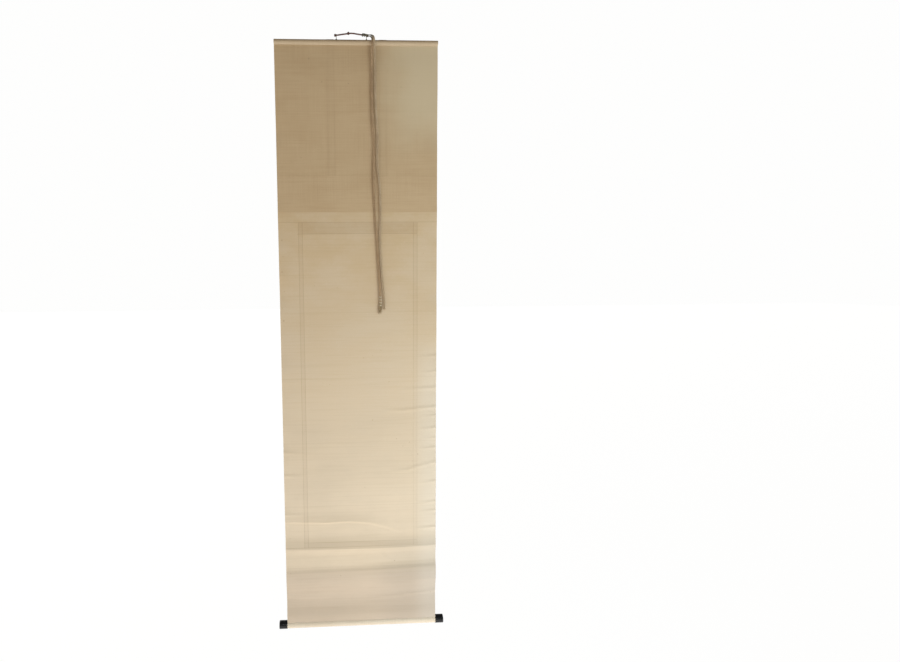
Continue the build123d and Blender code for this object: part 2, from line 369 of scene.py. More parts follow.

# %% [markdown]
# ## The finishes
# The back of an old scroll is lining paper, brownest where the outer turns of the roll met the air, which
# is the top end. The colour therefore runs from tan at the top to pale straw at the roller, and part of that
# run is painted shade, for light that falls off towards the top. The seams of the front show through the
# paper as thin darker lines, and painted shade lies on the folds where they face upwards. These masks come
# from the mesh, as attributes, and each finish lays its tones over one another in turn. More painted shade
# lies near the roller and below the lower crease, and painted window light lies along the right edge.

# %% Lining paper of the back
def paper_finish(name, top_colour, low_colour, specks=1.0):
    material, tree = new_material(name)
    x, y, z = object_axes(tree)
    age = use_group(tree, age_group, Specks=specks)
    fibre = use_group(tree, fibre_group, Size=1.0)
    seam, strips, joint, painted_fold_shade = (
        mask_named(tree, label) for label in ("seam_line", "under_layer", "joint", "faces_up")
    )
    faint_side = ramp(x, to_x(40), to_x(130)) * ramp(z, to_z(650), to_z(1050))
    clear = 1.0 - faint_side * 0.45
    # Painted shade below the lower crease, on the right side.
    painted_shade_below_crease = ramp(x, to_x(10), to_x(125)) * ramp(z, to_z(1350), to_z(1385))
    # Painted light of the window on the right, lower down along the right edge.
    painted_window_light = ramp(x, to_x(140), to_x(196)) * ramp(z, to_z(760), to_z(900))
    colour = lay(
        # Tan at the top to straw lower down: partly age, partly painted shade for light that falls off towards the
        # top.
        blend(ramp(z, to_z(430), to_z(1250), smooth=False), top_colour, low_colour),
        (ramp(age["Mottle"], 0.35, 0.7) * 0.35, tuple(0.86 * c for c in low_colour)),
        (ramp(age["Streaks"], 0.42, 0.72) * 0.25, (0.86, 0.82, 0.74), DARKEN),
        (fibre["Fibres"] * 0.09, (0.80, 0.74, 0.62)),
        # Painted shade near the roller: darker towards the bottom.
        (ramp(z, to_z(1430), to_z(1478)), (0.87, 0.86, 0.885), DARKEN),
        (painted_shade_below_crease, (0.89, 0.90, 0.92), DARKEN),
        (painted_window_light * 0.16, (0.80, 0.78, 0.70)),
        (strips * clear * 0.58, (0.88, 0.86, 0.84), DARKEN),
        (seam * clear * 0.78, (0.72, 0.68, 0.60), DARKEN),
        (joint * 0.35, (0.84, 0.80, 0.74), DARKEN),
        # Painted shade on the fold slopes that face up.
        (painted_fold_shade * 0.38, (0.84, 0.82, 0.78), DARKEN),
        (age["Specks"] * 0.6, (0.42, 0.25, 0.11)),
    )
    normal = bumped(fibre["Height"] * 0.5 + age["Streaks"] * 1.2, 0.25, 0.2 * MM)
    set_shader(tree, Base_Color=colour, Roughness=0.86, Specular_IOR_Level=0.25, Normal=normal)
    return material


backing_finish = paper_finish("backing_paper_finish", (0.525, 0.365, 0.200), (0.735, 0.585, 0.415))
picture_finish = paper_finish("picture_paper_finish", (0.66, 0.55, 0.38), (0.74, 0.65, 0.49), specks=1.3)


# %% Silks of the mount
FINE_WEAVE = 2200.0


def silk_finish(name, top_colour, low_colour, across, down, sheen, bump_size, ends=(430, 1250)):
    """across and down are threads to a metre, and ends is where the top and low colours are."""
    material, tree = new_material(name)
    x, y, z = object_axes(tree)
    age = use_group(tree, age_group, Specks=0.5)
    weave = use_group(tree, weave_group, Across=across, Down=down)
    seam, strips, joint = (mask_named(tree, label) for label in ("seam_line", "under_layer", "joint"))
    colour = lay(
        blend(ramp(z, to_z(ends[0]), to_z(ends[1]), smooth=False), top_colour, low_colour),
        (ramp(weave["Slub"], 0.42, 0.62) * 0.5, (0.88, 0.85, 0.80), DARKEN),
        # Painted shade in the grooves between the threads.
        ((1.0 - weave["Height"]) * 0.28, (0.62, 0.55, 0.45), DARKEN),
        (ramp(age["Mottle"], 0.35, 0.7) * 0.4, (0.87, 0.83, 0.77), DARKEN),
        (ramp(age["Streaks"], 0.42, 0.72) * 0.3, (0.88, 0.84, 0.78), DARKEN),
        (strips * 0.4, (0.86, 0.85, 0.84), DARKEN),
        (seam * 0.6, (0.76, 0.72, 0.66), DARKEN),
        (joint * 0.35, (0.84, 0.80, 0.74), DARKEN),
        (age["Specks"] * 0.5, (0.36, 0.21, 0.10)),
    )
    set_shader(
        tree, Base_Color=colour, Roughness=0.78, Specular_IOR_Level=0.3, Sheen_Weight=sheen,
        Sheen_Roughness=0.4, Normal=bumped(weave["Height"], bump_size, 0.15 * MM),
    )
    return material


# The cover silk is a little darker towards its top: partly age, partly painted shade.
cover_finish = silk_finish(
    "cover_silk_finish", (0.520, 0.365, 0.207), (0.560, 0.395, 0.228), 2400.0, 2400.0, 0.05, 0.2, (0, 470)
)
mount_finish = silk_finish(
    "mount_silk_finish", (0.50, 0.41, 0.27), (0.56, 0.47, 0.33), FINE_WEAVE, FINE_WEAVE, 0.1, 0.3
)
# The stave's silk is browner at its top and paler at its lower edge: painted shade on the top, which faces up, and
# painted light on the lower edge, as from a lamp below.
stave_silk_finish = silk_finish(
    "stave_silk_finish", (0.46, 0.325, 0.195), (0.555, 0.425, 0.28), FINE_WEAVE, FINE_WEAVE, 0.05, 0.3, (4, 13)
)
roller_silk_finish = silk_finish(
    "roller_silk_finish", (0.87, 0.735, 0.565), (0.87, 0.735, 0.565), FINE_WEAVE, FINE_WEAVE, 0.05, 0.3
)
pillar_finish = silk_finish(
    "pillar_silk_finish", (0.58, 0.52, 0.38), (0.64, 0.58, 0.44), 1800.0, 1800.0, 0.15, 0.35
)
strip_finish = silk_finish(
    "strip_silk_finish", (0.24, 0.19, 0.11), (0.28, 0.22, 0.13), 500.0, 2600.0, 0.3, 0.5
)


# %% A small lozenge figure in the pillar silk
def add_lozenges(material, cell, share, tone):
    """A lattice of small lozenges woven tone on tone. cell is the width of one."""
    tree, plain = painted(material)
    x, y, z = object_axes(tree)
    folded = [((axis / size).to("FRACT") - 0.5).to("ABSOLUTE") for axis, size in ((x, cell), (z, 1.3 * cell))]
    off_line = (folded[0] + folded[1] - 0.5).to("ABSOLUTE")
    figure = (1.0 - ramp(off_line, 0.05, 0.11)).to("MAXIMUM", ramp(off_line, 0.36, 0.42))
    set_shader(tree, Base_Color=blend(figure * share, plain, tone, DARKEN), Roughness=0.8 - figure * 0.25)


add_lozenges(pillar_finish, 9 * MM, 0.6, (0.80, 0.76, 0.68))


# %% Dark marks along the stave's top: wear rubbed in under the hanging cord, and painted shade along the whole top edge
def add_rub_and_shade_mark(material, left, right, depth, tone):
    """Darken the stave's silk between two places along x, near its top edge."""
    tree, unmarked = painted(material)
    x, y, z = object_axes(tree)
    fade = 3 * MM
    between = ramp(x, left - fade, left + fade) * ramp(x, right + fade, right - fade)
    edge = ramp(z, stave_top - depth, stave_top - 0.3 * depth)
    patchy = ramp(noise(tree, (160.0, 300.0, 300.0), 3.0, 0.6), 0.2, 0.42)
    set_shader(tree, Base_Color=blend(between * edge * patchy * 0.85, unmarked, tone))


add_rub_and_shade_mark(stave_silk_finish, -12 * MM, 42 * MM, 4.4 * MM, (0.07, 0.035, 0.02))
add_rub_and_shade_mark(stave_silk_finish, -40 * MM, -28 * MM, 1.6 * MM, (0.14, 0.09, 0.05))
# Painted shade along the whole top edge of the stave, which faces up, away from the lamp below.
add_rub_and_shade_mark(stave_silk_finish, sheet_low.x, sheet_high.x, 1.4 * MM, (0.30, 0.21, 0.12))


# %% Stains at their own places
def add_stains(material, stains, tone):
    """Small brown spots: (across, down, size) in millimetres."""
    tree, unmarked = painted(material)
    spots = [
        use_group(tree, stain_group, Place_x=to_x(across), Place_z=to_z(down), Size=size * MM)["Stain"]
        for across, down, size in stains
    ]
    stained = spots[0]
    for spot in spots[1:]:
        stained = stained.to("MAXIMUM", spot)
    set_shader(tree, Base_Color=blend(stained * 0.45, unmarked, tone))


left_edge_stains = [
    (-206, 517, 2.6), (-204, 561, 1.8), (-207, 602, 2.2), (-203, 655, 1.6), (-206, 735, 3.0), (-209, 700, 1.5)
]
right_stains = [
    (103, 1072, 1.8), (121, 1094, 1.4), (140, 1083, 1.6), (163, 1118, 2.0), (149, 1138, 1.4), (96, 1432, 2.2)
]
stray_stains = [(-120, 640, 1.3), (12, 1210, 1.5), (-60, 1470, 1.4), (60, 820, 1.3)]
cover_stains = [
    (-125, 48, 3.4), (-92, 106, 2.6), (-22, 110, 2.6), (152, 36, 2.6), (118, 118, 3.2), (-150, 300, 2.0)
]
add_stains(backing_finish, left_edge_stains + right_stains + stray_stains, (0.33, 0.20, 0.10))
add_stains(cover_finish, cover_stains, (0.30, 0.21, 0.11))


# %% Painted window light on the upper right corner of the cover silk
def paint_corner_light(material, lit_corner_colour):
    """Lighten the silk towards the upper right corner of the back: painted light from the window on the right."""
    tree, unlit_colour = painted(material)
    x, y, z = object_axes(tree)
    cloudy = (noise(tree, (14.0, 1.0, 14.0), 3.0) - 0.5) * 0.09
    lit_share = ramp(x + cloudy, to_x(10), to_x(165)) * ramp(z + cloudy, to_z(340), to_z(150))
    set_shader(tree, Base_Color=blend(lit_share * 0.75, unlit_colour, lit_corner_colour))


paint_corner_light(cover_finish, (0.545, 0.430, 0.270))

# %% Wood
wood_finish, tree = new_material("bare_wood_finish")
grain = use_group(tree, grain_group, Rings=260.0)
colour = lay(
    blend(ramp(grain["Grain"], 0.1, 0.9), (0.58, 0.40, 0.23), (0.40, 0.25, 0.12)),
    (ramp(grain["Pores"], 0.5, 0.7) * 0.4, (0.28, 0.16, 0.08)),
)
set_shader(tree, Base_Color=colour, Roughness=0.62, Normal=bumped(grain["Pores"], 0.3, 0.2 * MM))

# %% Lacquer
lacquer_finish, tree = new_material("black_lacquer_finish")
scuffs = noise(tree, (160.0, 160.0, 160.0), 5.0, 0.7)
set_shader(
    tree,
    Base_Color=blend(ramp(scuffs, 0.60, 0.72) * 0.25, (0.008, 0.007, 0.007), (0.05, 0.028, 0.018)),
    Roughness=ramp(scuffs, 0.45, 0.8) * 0.2 + 0.14,
    Specular_IOR_Level=0.25,
    Coat_Weight=0.35,
    Coat_Roughness=0.06,
    Normal=bumped(noise(tree, (60.0, 220.0, 220.0), 2.0), 0.12, 0.4 * MM),
)

# %% Brass
brass_finish, tree = new_material("aged_brass_finish")
patina = noise(tree, (420.0, 420.0, 420.0), 4.0, 0.65)
green = ramp(patina, 0.42, 0.62)
set_shader(
    tree,
    Base_Color=blend(green, (0.20, 0.145, 0.06), (0.055, 0.075, 0.05)),
    Metallic=0.9 - green * 0.7,
    Roughness=0.42 + green * 0.4,
    Normal=bumped(patina, 0.3, 0.1 * MM),
)


# %% Cord finishes
def cord_finish(name, light, dark, dirt_colour, grimy_start=0.0):
    material, tree = new_material(name)
    threads = use_group(tree, strand_group, Threads=5200.0)
    colour = lay(
        blend(ramp(threads["Shade"], 0.3, 0.7), dark, light),
        # Painted shade in the grooves between the threads.
        ((1.0 - threads["Height"]) * 0.35, tuple(0.5 * c for c in dark)),
        (ramp(threads["Dirt"], 0.5, 0.7) * 0.35, dirt_colour),
        (threads["Start"] * grimy_start, (0.085, 0.075, 0.045)),
    )
    normal = bumped(threads["Height"], 0.4, 0.15 * MM)
    set_shader(tree, Base_Color=colour, Roughness=0.85, Sheen_Weight=0.15, Normal=normal)
    return material


# Both tails are one cord. The inner tail is darker than the outer: painted shade, for the outer tail's shadow on it.
inner_braid_finish = cord_finish(
    "inner_braid_finish", (0.54, 0.355, 0.19), (0.38, 0.235, 0.115), (0.30, 0.19, 0.10), 0.9
)
outer_braid_finish = cord_finish(
    "outer_braid_finish", (0.60, 0.435, 0.26), (0.43, 0.30, 0.17), (0.36, 0.25, 0.14), 0.9
)
hanging_cord_finish = cord_finish(
    "hanging_cord_finish", (0.15, 0.048, 0.026), (0.050, 0.018, 0.011), (0.08, 0.05, 0.03)
)
pale_thread_finish = cord_finish(
    "pale_thread_finish", (0.78, 0.66, 0.46), (0.62, 0.50, 0.32), (0.5, 0.38, 0.24)
)
frayed_finish = cord_finish("frayed_finish", (0.50, 0.36, 0.19), (0.36, 0.25, 0.12), (0.26, 0.18, 0.09))
hitch_finish = cord_finish("hitch_finish", (0.17, 0.145, 0.09), (0.085, 0.08, 0.05), (0.06, 0.07, 0.045))
print("materials:", [material.name for material in bpy.data.materials if material.use_nodes])

# %% [markdown]
# ## The cords
# A limp cord hangs under its own weight, so its line is one smooth curve. The routes are the frame's own
# points, in millimetres. The winding cord is a flat braid folded in half and hitched to the hanging cord,
# so two tails hang side by side behind the stave. Each braid is made by a Geometry Nodes tree that sends a
# few strands along the route, weaving from side to side, because copying strands by hand would not scale.

# %% Routes
inner_tail_route = [
    (-35.5, 6.4, -6.6), (-42.5, 6.4, -8.2), (-49.2, 7.6, -9.2), (-54.1, 9.3, -13.8), (-54.7, 9.4, -22.5),
    (-53.4, 8.2, -40.5), (-52.7, 6.3, -72.0), (-52.2, 4.7, -115.0), (-52.9, 3.6, -168.0), (-54.2, 3.2, -221.0),
    (-57.6, 2.9, -268.0), (-57.0, 3.2, -322.0), (-56.3, 2.8, -378.0), (-57.0, 3.1, -430.0), (-59.2, 2.8, -480.0),
    (-64.2, 3.1, -528.0), (-66.6, 2.7, -584.0), (-69.0, 3.0, -637.0), (-72.4, 2.7, -687.0), (-72.0, 2.8, -727.7),
]
outer_tail_route = [
    (-35.5, 6.4, -3.6), (-43.5, 6.4, -5.4), (-51.5, 8.5, -6.2), (-57.3, 11.2, -10.6), (-58.8, 11.5, -20.0),
    (-60.3, 9.8, -38.5), (-61.4, 7.4, -72.0), (-61.2, 5.6, -115.0), (-61.6, 4.2, -168.0), (-65.0, 3.8, -221.0),
    (-67.4, 3.2, -270.0), (-64.8, 3.6, -326.0), (-70.9, 3.1, -378.0), (-73.4, 3.4, -430.0), (-73.0, 3.0, -480.0),
    (-71.2, 3.4, -530.0), (-73.9, 3.0, -586.0), (-77.3, 3.1, -637.0), (-81.9, 2.8, -684.0), (-82.6, 2.9, -719.3),
]
hanging_route = [(-40.7, 0.0, -4.7), (-15.4, 0.0, -0.97), (0.0, 0.0, 1.3), (15.4, 0.0, -0.97), (40.7, 0.0, -4.7)]


def route_curve(name, route, resolution=14):
    """A NURBS curve whose control points are the route's points."""
    curve = bpy.data.curves.new(name, "CURVE")
    curve.dimensions = "3D"
    curve.resolution_u = resolution
    spline = curve.splines.new("NURBS")
    spline.points.add(len(route) - 1)
    for point, (x, y, z) in zip(spline.points, route):
        point.co = (x * MM, y * MM, z * MM, 1.0)
    spline.order_u = 3
    spline.use_endpoint_u = True
    return add_object(name, curve)


def read_route(made):
    """The points along a route's own smooth line."""
    line = bpy.data.meshes.new_from_object(made)
    points = [v.co.copy() for v in line.vertices]
    bpy.data.meshes.remove(line)
    return points


def line_length(points):
    return sum((b - a).length for a, b in zip(points, points[1:]))


inner_line = route_curve("inner_route", inner_tail_route)
outer_line = route_curve("outer_route", outer_tail_route)
hanging_line = route_curve("hanging_route", hanging_route, 24)
route_lines = (inner_line, outer_line, hanging_line)
inner_points, outer_points, hanging_points = (read_route(made) for made in route_lines)
for points in (inner_points, outer_points, hanging_points):
    print("route length", round(line_length(points), 4), "points", len(points))


# %% Helpers for Geometry Nodes trees
NUMBER, WHOLE, FINISH, YES_NO = "NodeSocketFloat", "NodeSocketInt", "NodeSocketMaterial", "NodeSocketBool"


def geometry_tree(name, inputs):
    """An empty Geometry Nodes tree with one geometry in, one out, and named inputs."""
    tree = bpy.data.node_groups.new(name, "GeometryNodeTree")
    tree.interface.new_socket("Geometry", in_out="INPUT", socket_type="NodeSocketGeometry")
    for label, (kind, value) in inputs.items():
        socket = tree.interface.new_socket(label, in_out="INPUT", socket_type=kind)
        if value is not None:
            socket.default_value = value
    tree.interface.new_socket("Geometry", in_out="OUTPUT", socket_type="NodeSocketGeometry")
    return tree, wires_of(tree, tree.nodes.new("NodeGroupInput").outputs)


def vector(tree, operation, first, second=None):
    """One Vector Math node on wires or triples."""
    inputs = {0: first}
    if second is not None:
        inputs["Scale" if operation == "SCALE" else 1] = second
    return wire(tree, "ShaderNodeVectorMath", "Vector", inputs, operation=operation)


def store(tree, geometry, **values):
    """Store numbers on the points of a curve, under their names."""
    for label, value in values.items():
        inputs = {"Geometry": geometry, "Name": label, "Value": value}
        geometry = wire(
            tree, "GeometryNodeStoreNamedAttribute", 0, inputs, data_type="FLOAT", domain="POINT"
        )
    return geometry


def round_profile(tree, sides, radius):
    return wire(
        tree, "GeometryNodeCurvePrimitiveCircle", 0, {"Resolution": sides, "Radius": radius}, mode="RADIUS"
    )


def skin(tree, routes, profile, finish, smooth):
    """Give curves a section and a finish, and send them out of the tree as one real mesh."""
    made = wire(
        tree, "GeometryNodeCurveToMesh", 0, {"Curve": routes, "Profile Curve": profile, "Fill Caps": True}
    )
    if smooth:
        made = wire(tree, "GeometryNodeSetShadeSmooth", 0, {"Geometry": made})
    made = wire(tree, "GeometryNodeRealizeInstances", 0, {"Geometry": made})
    made = wire(tree, "GeometryNodeSetMaterial", 0, {"Geometry": made, "Material": finish})
    plug(tree, tree.nodes.new("NodeGroupOutput").inputs["Geometry"], made)


# %% The braiding tree
N, given = geometry_tree(
    "Braid a cord",
    {
        "Strands": (WHOLE, 9), "Width": (NUMBER, 0.0056), "Thickness": (NUMBER, 0.002),
        "Strand radius": (NUMBER, 0.00045), "Pitch": (NUMBER, 0.014), "Crossings": (NUMBER, 2.0),
        "Lead": (NUMBER, 0.0), "Twist": (NUMBER, 0.3), "Twist length": (NUMBER, 0.17),
        "Twist start": (NUMBER, 0.0), "First lean": (NUMBER, 0.0), "First length": (NUMBER, 0.014),
        "Step": (NUMBER, 0.0012), "Round": (YES_NO, False), "Finish": (FINISH, None),
    },
)
braid_tree = N
resampled = wire(
    N, "GeometryNodeResampleCurve", 0, {"Curve": given["Geometry"], "Length": given["Step"]}, mode="LENGTH"
)
copies = add_node(
    N, "GeometryNodeDuplicateElements", {"Geometry": resampled, "Amount": given["Strands"]}, domain="SPLINE"
)

# Where each strand is on its way round: it starts its own share of a turn ahead.
distance = wire(N, "GeometryNodeSplineParameter", "Length")
share = Wire(N, copies.outputs["Duplicate Index"]) / given["Strands"]
angle = (distance / given["Pitch"] + share) * math.tau

# The flat way of the braid faces the back, and leans to and fro along the cord.
tangent = wire(N, "GeometryNodeInputTangent")
facing_back = vector(N, "NORMALIZE", vector(N, "CROSS_PRODUCT", tangent, (0.0, 1.0, 0.0)))
own_normal = wire(N, "GeometryNodeInputNormal")
choice = {"Switch": given["Round"], "False": facing_back, "True": own_normal}
flat_way = wire(N, "GeometryNodeSwitch", 0, choice, input_type="VECTOR")
thick_way = vector(N, "CROSS_PRODUCT", flat_way, tangent)
sway = (distance / given["Twist length"] * math.tau + given["Twist start"]).to("SINE")
still_flat = (1.6 - distance / given["First length"]).to("MAXIMUM", 0.0).to("MINIMUM", 1.0)
lean_angle = sway * given["Twist"] + given["First lean"] * still_flat
cosine, sine = lean_angle.to("COSINE"), lean_angle.to("SINE")
wide = vector(N, "ADD", vector(N, "SCALE", flat_way, cosine), vector(N, "SCALE", thick_way, sine))
deep = vector(N, "SUBTRACT", vector(N, "SCALE", thick_way, cosine), vector(N, "SCALE", flat_way, sine))

# Each strand swings from side to side and passes over and under the others.
half_wide = given["Width"] * 0.5 - given["Strand radius"]
half_deep = given["Thickness"] * 0.5 - given["Strand radius"]
sideways = half_wide * angle.to("SINE")
crossing = (angle * given["Crossings"] + given["Lead"]).to("SINE")
offset = vector(N, "ADD", vector(N, "SCALE", wide, sideways), vector(N, "SCALE", deep, half_deep * crossing))
kept = store(N, Wire(N, copies.outputs["Geometry"]), along=distance, strand=share)
moved = wire(N, "GeometryNodeSetPosition", 0, {"Geometry": kept, "Offset": offset})
profile = round_profile(N, 6, given["Strand radius"])
marked = store(N, profile, turned=wire(N, "GeometryNodeSplineParameter", "Factor"))
skin(N, moved, marked, given["Finish"], smooth=True)


def run_tree(name, source, tree, **values):
    """Run a Geometry Nodes tree on an object and keep the result as a plain mesh."""
    modifier = source.modifiers.new("run", "NODES")
    modifier.node_group = tree
    for item in tree.interface.items_tree:
        label = item.name.replace(" ", "_")
        if item.in_out == "INPUT" and label in values:
            modifier[item.identifier] = values[label]
    source.update_tag()
    depsgraph = bpy.context.evaluated_depsgraph_get()
    depsgraph.update()
    mesh = bpy.data.meshes.new_from_object(source.evaluated_get(depsgraph), depsgraph=depsgraph)
    source.modifiers.remove(modifier)
    mesh.name = name
    masks = [a.name for a in mesh.attributes if a.name in ("along", "strand", "turned")]
    print(name, "faces", len(mesh.polygons), "attributes", masks)
    return add_object(name, mesh)


# %% Braid the two tails and twist the hanging cord
QUARTER_TURN = math.pi / 2
inner_tail = run_tree(
    "inner_tail", inner_line, braid_tree, Finish=inner_braid_finish, Twist=0.35, Twist_start=0.4, First_lean=1.1
)
outer_tail = run_tree(
    "outer_tail", outer_line, braid_tree, Finish=outer_braid_finish, Twist=0.3, Twist_length=0.21,
    Twist_start=2.0, First_lean=1.1,
)
hanging_cord = run_tree(
    "hanging_cord_twist", hanging_line, braid_tree, Strands=3, Width=3.9 * MM, Thickness=3.9 * MM,
    Strand_radius=1.05 * MM, Pitch=9.0 * MM, Crossings=1.0, Lead=QUARTER_TURN, Twist=0.0, Step=0.5 * MM,
    Finish=hanging_cord_finish,
)
for line in route_lines:
    bpy.data.objects.remove(line)
finish_piece(inner_tail, None, "winding_braid", "winding_cord_inner")
finish_piece(outer_tail, None, "winding_braid", "winding_cord_outer")
finish_piece(hanging_cord, None, "hanging_braid", "hanging_cord")

# %% [markdown]
# ## The shape that the sheet has taken
# The sheet has been rolled up for years. When it hangs it is nearly flat, but it keeps shallow waves across
# it, a few sharper folds near the roller, and short ripples along its edges. Every layer is pasted to the
# next, so they all share one shape: a single function gives how far the sheet stands back at each place,
# and all layers are built on it. Each fold is a few points with a height, and a rise above and below it.

# %% Folds: points of (across, down, height), all in millimetres, then how far the fold spreads up and down
folds = [
    # the long ridge along the lower seam
    ([(-215, 1389, 4.2), (-100, 1390, 5.4), (40, 1391, 5.2), (120, 1390, 4.8), (215, 1388, 3.8)], 46, 24),
    # the sharp fold above it, which dies out in a bow to the right
    (
        [
            (-215, 1307, 1.2), (-165, 1309, 2.6), (-100, 1311, 3.4), (-40, 1309, 3.0), (20, 1314, 2.6),
            (70, 1328, 1.6), (115, 1346, 0.0),
        ],
        40, 5,
    ),
    # the ridge below the seam, highest at the right edge
    ([(-215, 1484, 2.6), (-60, 1482, 3.0), (80, 1476, 3.6), (160, 1472, 4.2), (215, 1470, 4.4)], 44, 60),
    ([(-215, 1462, 0.7), (-100, 1460, 0.9), (20, 1457, 1.2), (120, 1453, 1.5), (215, 1450, 1.6)], 10, 36),
    ([(-215, 1546, -4.6), (-60, 1546, -4.8), (80, 1544, -4.6), (215, 1540, -4.2)], 62, 84),
    ([(40, 1398, 0.0), (62, 1412, 1.0), (84, 1430, 0.0)], 12, 10),
    ([(20, 1546, 0.0), (90, 1540, 0.8), (160, 1534, 1.2), (215, 1527, 1.4)], 14, 9),
    ([(110, 1494, 0.0), (170, 1490, 0.8), (215, 1487, 1.1)], 9, 7),
    ([(-215, 1530, 1.0), (-150, 1536, 0.5), (-60, 1540, 0.0)], 16, 10),
    # the right edge
    ([(150, 839, 0.0), (190, 840, 0.6), (215, 838, 1.0)], 9, 7),
    ([(165, 885, 0.0), (195, 884, 0.6), (215, 882, 1.0)], 8, 6),
    ([(90, 934, 0.0), (165, 931, 0.7), (215, 928, 1.2)], 10, 8),
    ([(60, 990, 0.0), (120, 992, 0.8), (170, 987, 0.9), (215, 984, 1.2)], 10, 8),
    ([(170, 1011, 0.0), (215, 1008, 0.8)], 6, 6),
    ([(160, 1047, 0.0), (195, 1045, 0.8), (215, 1044, 1.1)], 9, 7),
    ([(170, 1074, 0.0), (215, 1072, 0.8)], 7, 6),
    ([(160, 1103, 0.0), (215, 1101, 1.1)], 8, 7),
    ([(80, 1166, 0.0), (130, 1164, 0.7), (180, 1150, 0.7), (215, 1143, 1.2)], 11, 8),
    ([(160, 1203, 0.0), (215, 1199, 1.2)], 9, 7),
    ([(150, 1263, 0.0), (190, 1261, 0.8), (215, 1259, 1.2)], 9, 7),
    ([(165, 1287, 0.0), (215, 1285, 1.0)], 7, 6),
    ([(150, 1338, 0.0), (185, 1336, 0.8), (215, 1334, 1.2)], 9, 8),
    # the left edge
    ([(-215, 1106, 1.0), (-190, 1107, 0.6), (-150, 1108, 0.0)], 10, 8),
    ([(-215, 1173, 1.1), (-185, 1174, 0.6), (-150, 1175, 0.0)], 10, 8),
    ([(-215, 1286, 0.8), (-185, 1287, 0.4), (-150, 1289, 0.0)], 12, 8),
    ([(-215, 905, 0.7), (-180, 906, 0.3), (-150, 906, 0.0)], 10, 9),
    ([(-215, 612, 0.6), (-160, 616, 0.0)], 14, 12),
]


def sheet_shape(x, z):
    """How far the sheet stands back at each place, in metres. Nothing at the stave or at the roller."""
    across, down = (middle_x - x) / MM, (stave_top - z) / MM
    waves = 0.9 * np.sin(down / 61 + across / 420 + 0.6) + 0.7 * np.sin(down / 103 - across / 260 + 2.1)
    waves += 0.35 * np.sin(down / 27 + across / 150) * np.clip((down - 700) / 500, 0, 1)
    edge = np.clip((np.abs(across) - 150) / 65, 0, 1) ** 2
    waves += edge * (0.5 * np.sin(down / 23 + 1.0) + 0.35 * np.sin(down / 13.5 - 0.4))
    bow = -1.6 * (across / 215) ** 2 * np.sin(np.clip(down / 1600, 0, 1) * math.pi)
    height = waves + bow
    for points, above, below in folds:
        places, downs, tops = (np.array(column, float) for column in zip(*points))
        crest = np.interp(across, places, downs)
        top = np.interp(across, places, tops) * ((across >= places[0] - 1) & (across <= places[-1] + 1))
        off = down - crest
        share = np.clip(np.where(off < 0, 1 + off / above, 1 - off / below), 0, 1)
        sharp = share**2 * (1.35 - 0.35 * share)
        soft = share**2 * (3 - 2 * share)
        height += top * (soft if below > 40 else sharp)
    down_to_crease = (z - crease_z) / MM
    held = np.clip((down - 20) / 70, 0, 1) * np.clip(down_to_crease / 45, 0, 1)
    held = held * held * (3 - 2 * held)
    return height * held * MM


for across, down in ((0, 200), (0, 900), (-100, 1386), (60, 700), (200, 1443)):
    stands_back = float(sheet_shape(np.array(to_x(across)), np.array(to_z(down))))
    print("shape at", (across, down), round(stands_back / MM, 2), "mm")

# %% [markdown]
# A thin raised step runs wherever one sheet overlaps the next: across the back at each joint of the lining
# paper, and down the back over the edges of the narrow front strips. The mesh gets extra rows and columns
# there, so the step is real. The same lines go into attributes that the finish darkens a little, and so
# does the slope of the back where it faces up, as painted shade.

# %% Where the seams are
def node_edges(node):
    low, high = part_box(node)
    return low.x, high.x, low.z, high.z


framed = [node_edges(node) for node in ("upper_strip", "lower_strip", "side_strip_left", "side_strip_right")]
hung = [node_edges(node) for node in ("hanging_strip_left", "hanging_strip_right")]
seam_z = sorted({round(z, 6) for _, _, low, high in framed[:2] for z in (low, high)})
joint_z = [to_z(down) for down in (181, 348, 531, 714, 897, 1080, 1263, 1446)]
seam_x = sorted({round(x, 6) for left, right, _, _ in framed[2:] for x in (left, right)})
hung_x = sorted({round(x, 6) for left, right, _, _ in hung for x in (left, right)})
LINE = 0.9 * MM
SHADED_SLOPE = 0.13


def near(places, lines, width=LINE):
    """1 on the lines, falling to 0 at the width."""
    best = np.zeros_like(places)
    for line in lines:
        best = np.maximum(best, np.clip(1.0 - np.abs(places - line) / width, 0, 1))
    return best


def inside(x, z, edges, soft=LINE):
    left, right, low, high = edges
    wide = np.clip((x - left) / soft + 0.5, 0, 1) * np.clip((right - x) / soft + 0.5, 0, 1)
    tall = np.clip((z - low) / soft + 0.5, 0, 1) * np.clip((high - z) / soft + 0.5, 0, 1)
    return wide * tall


def seam_mask(x, z):
    across_all = near(z, [framed[0][3], framed[1][2]])
    strip_left, strip_right = framed[2][0], framed[3][1]
    within = ((x > strip_left - LINE) & (x < strip_right + LINE)).astype(float)
    beside = near(x, seam_x) * ((z < framed[0][3]) & (z > framed[1][2]))
    hanging = 0.55 * near(x, hung_x, 1.6 * MM) * (z > hung[0][2]) * np.clip((stave_top - z) / 0.18, 0.15, 1)
    return np.maximum.reduce([across_all, near(z, seam_z) * within, beside, hanging])


def under_mask(x, z):
    shares = (1.0, 0.7, 0.5, 0.5)
    fill = np.maximum.reduce([share * inside(x, z, edges) for share, edges in zip(shares, framed)])
    hanging = np.maximum.reduce([0.35 * inside(x, z, edges) for edges in hung])
    return np.maximum(fill, hanging)


def joint_mask(x, z):
    return near(z, joint_z, 1.1 * MM)


def shaded_fold_mask(x, z):
    """How far the back turns upwards on a fold, where the finish paints shade."""
    slope = (sheet_shape(x, z - 1.0 * MM) - sheet_shape(x, z + 1.0 * MM)) / (2.0 * MM)
    return np.clip(slope / SHADED_SLOPE, 0, 1)


MASKS = {"seam_line": seam_mask, "under_layer": under_mask, "joint": joint_mask, "faces_up": shaded_fold_mask}


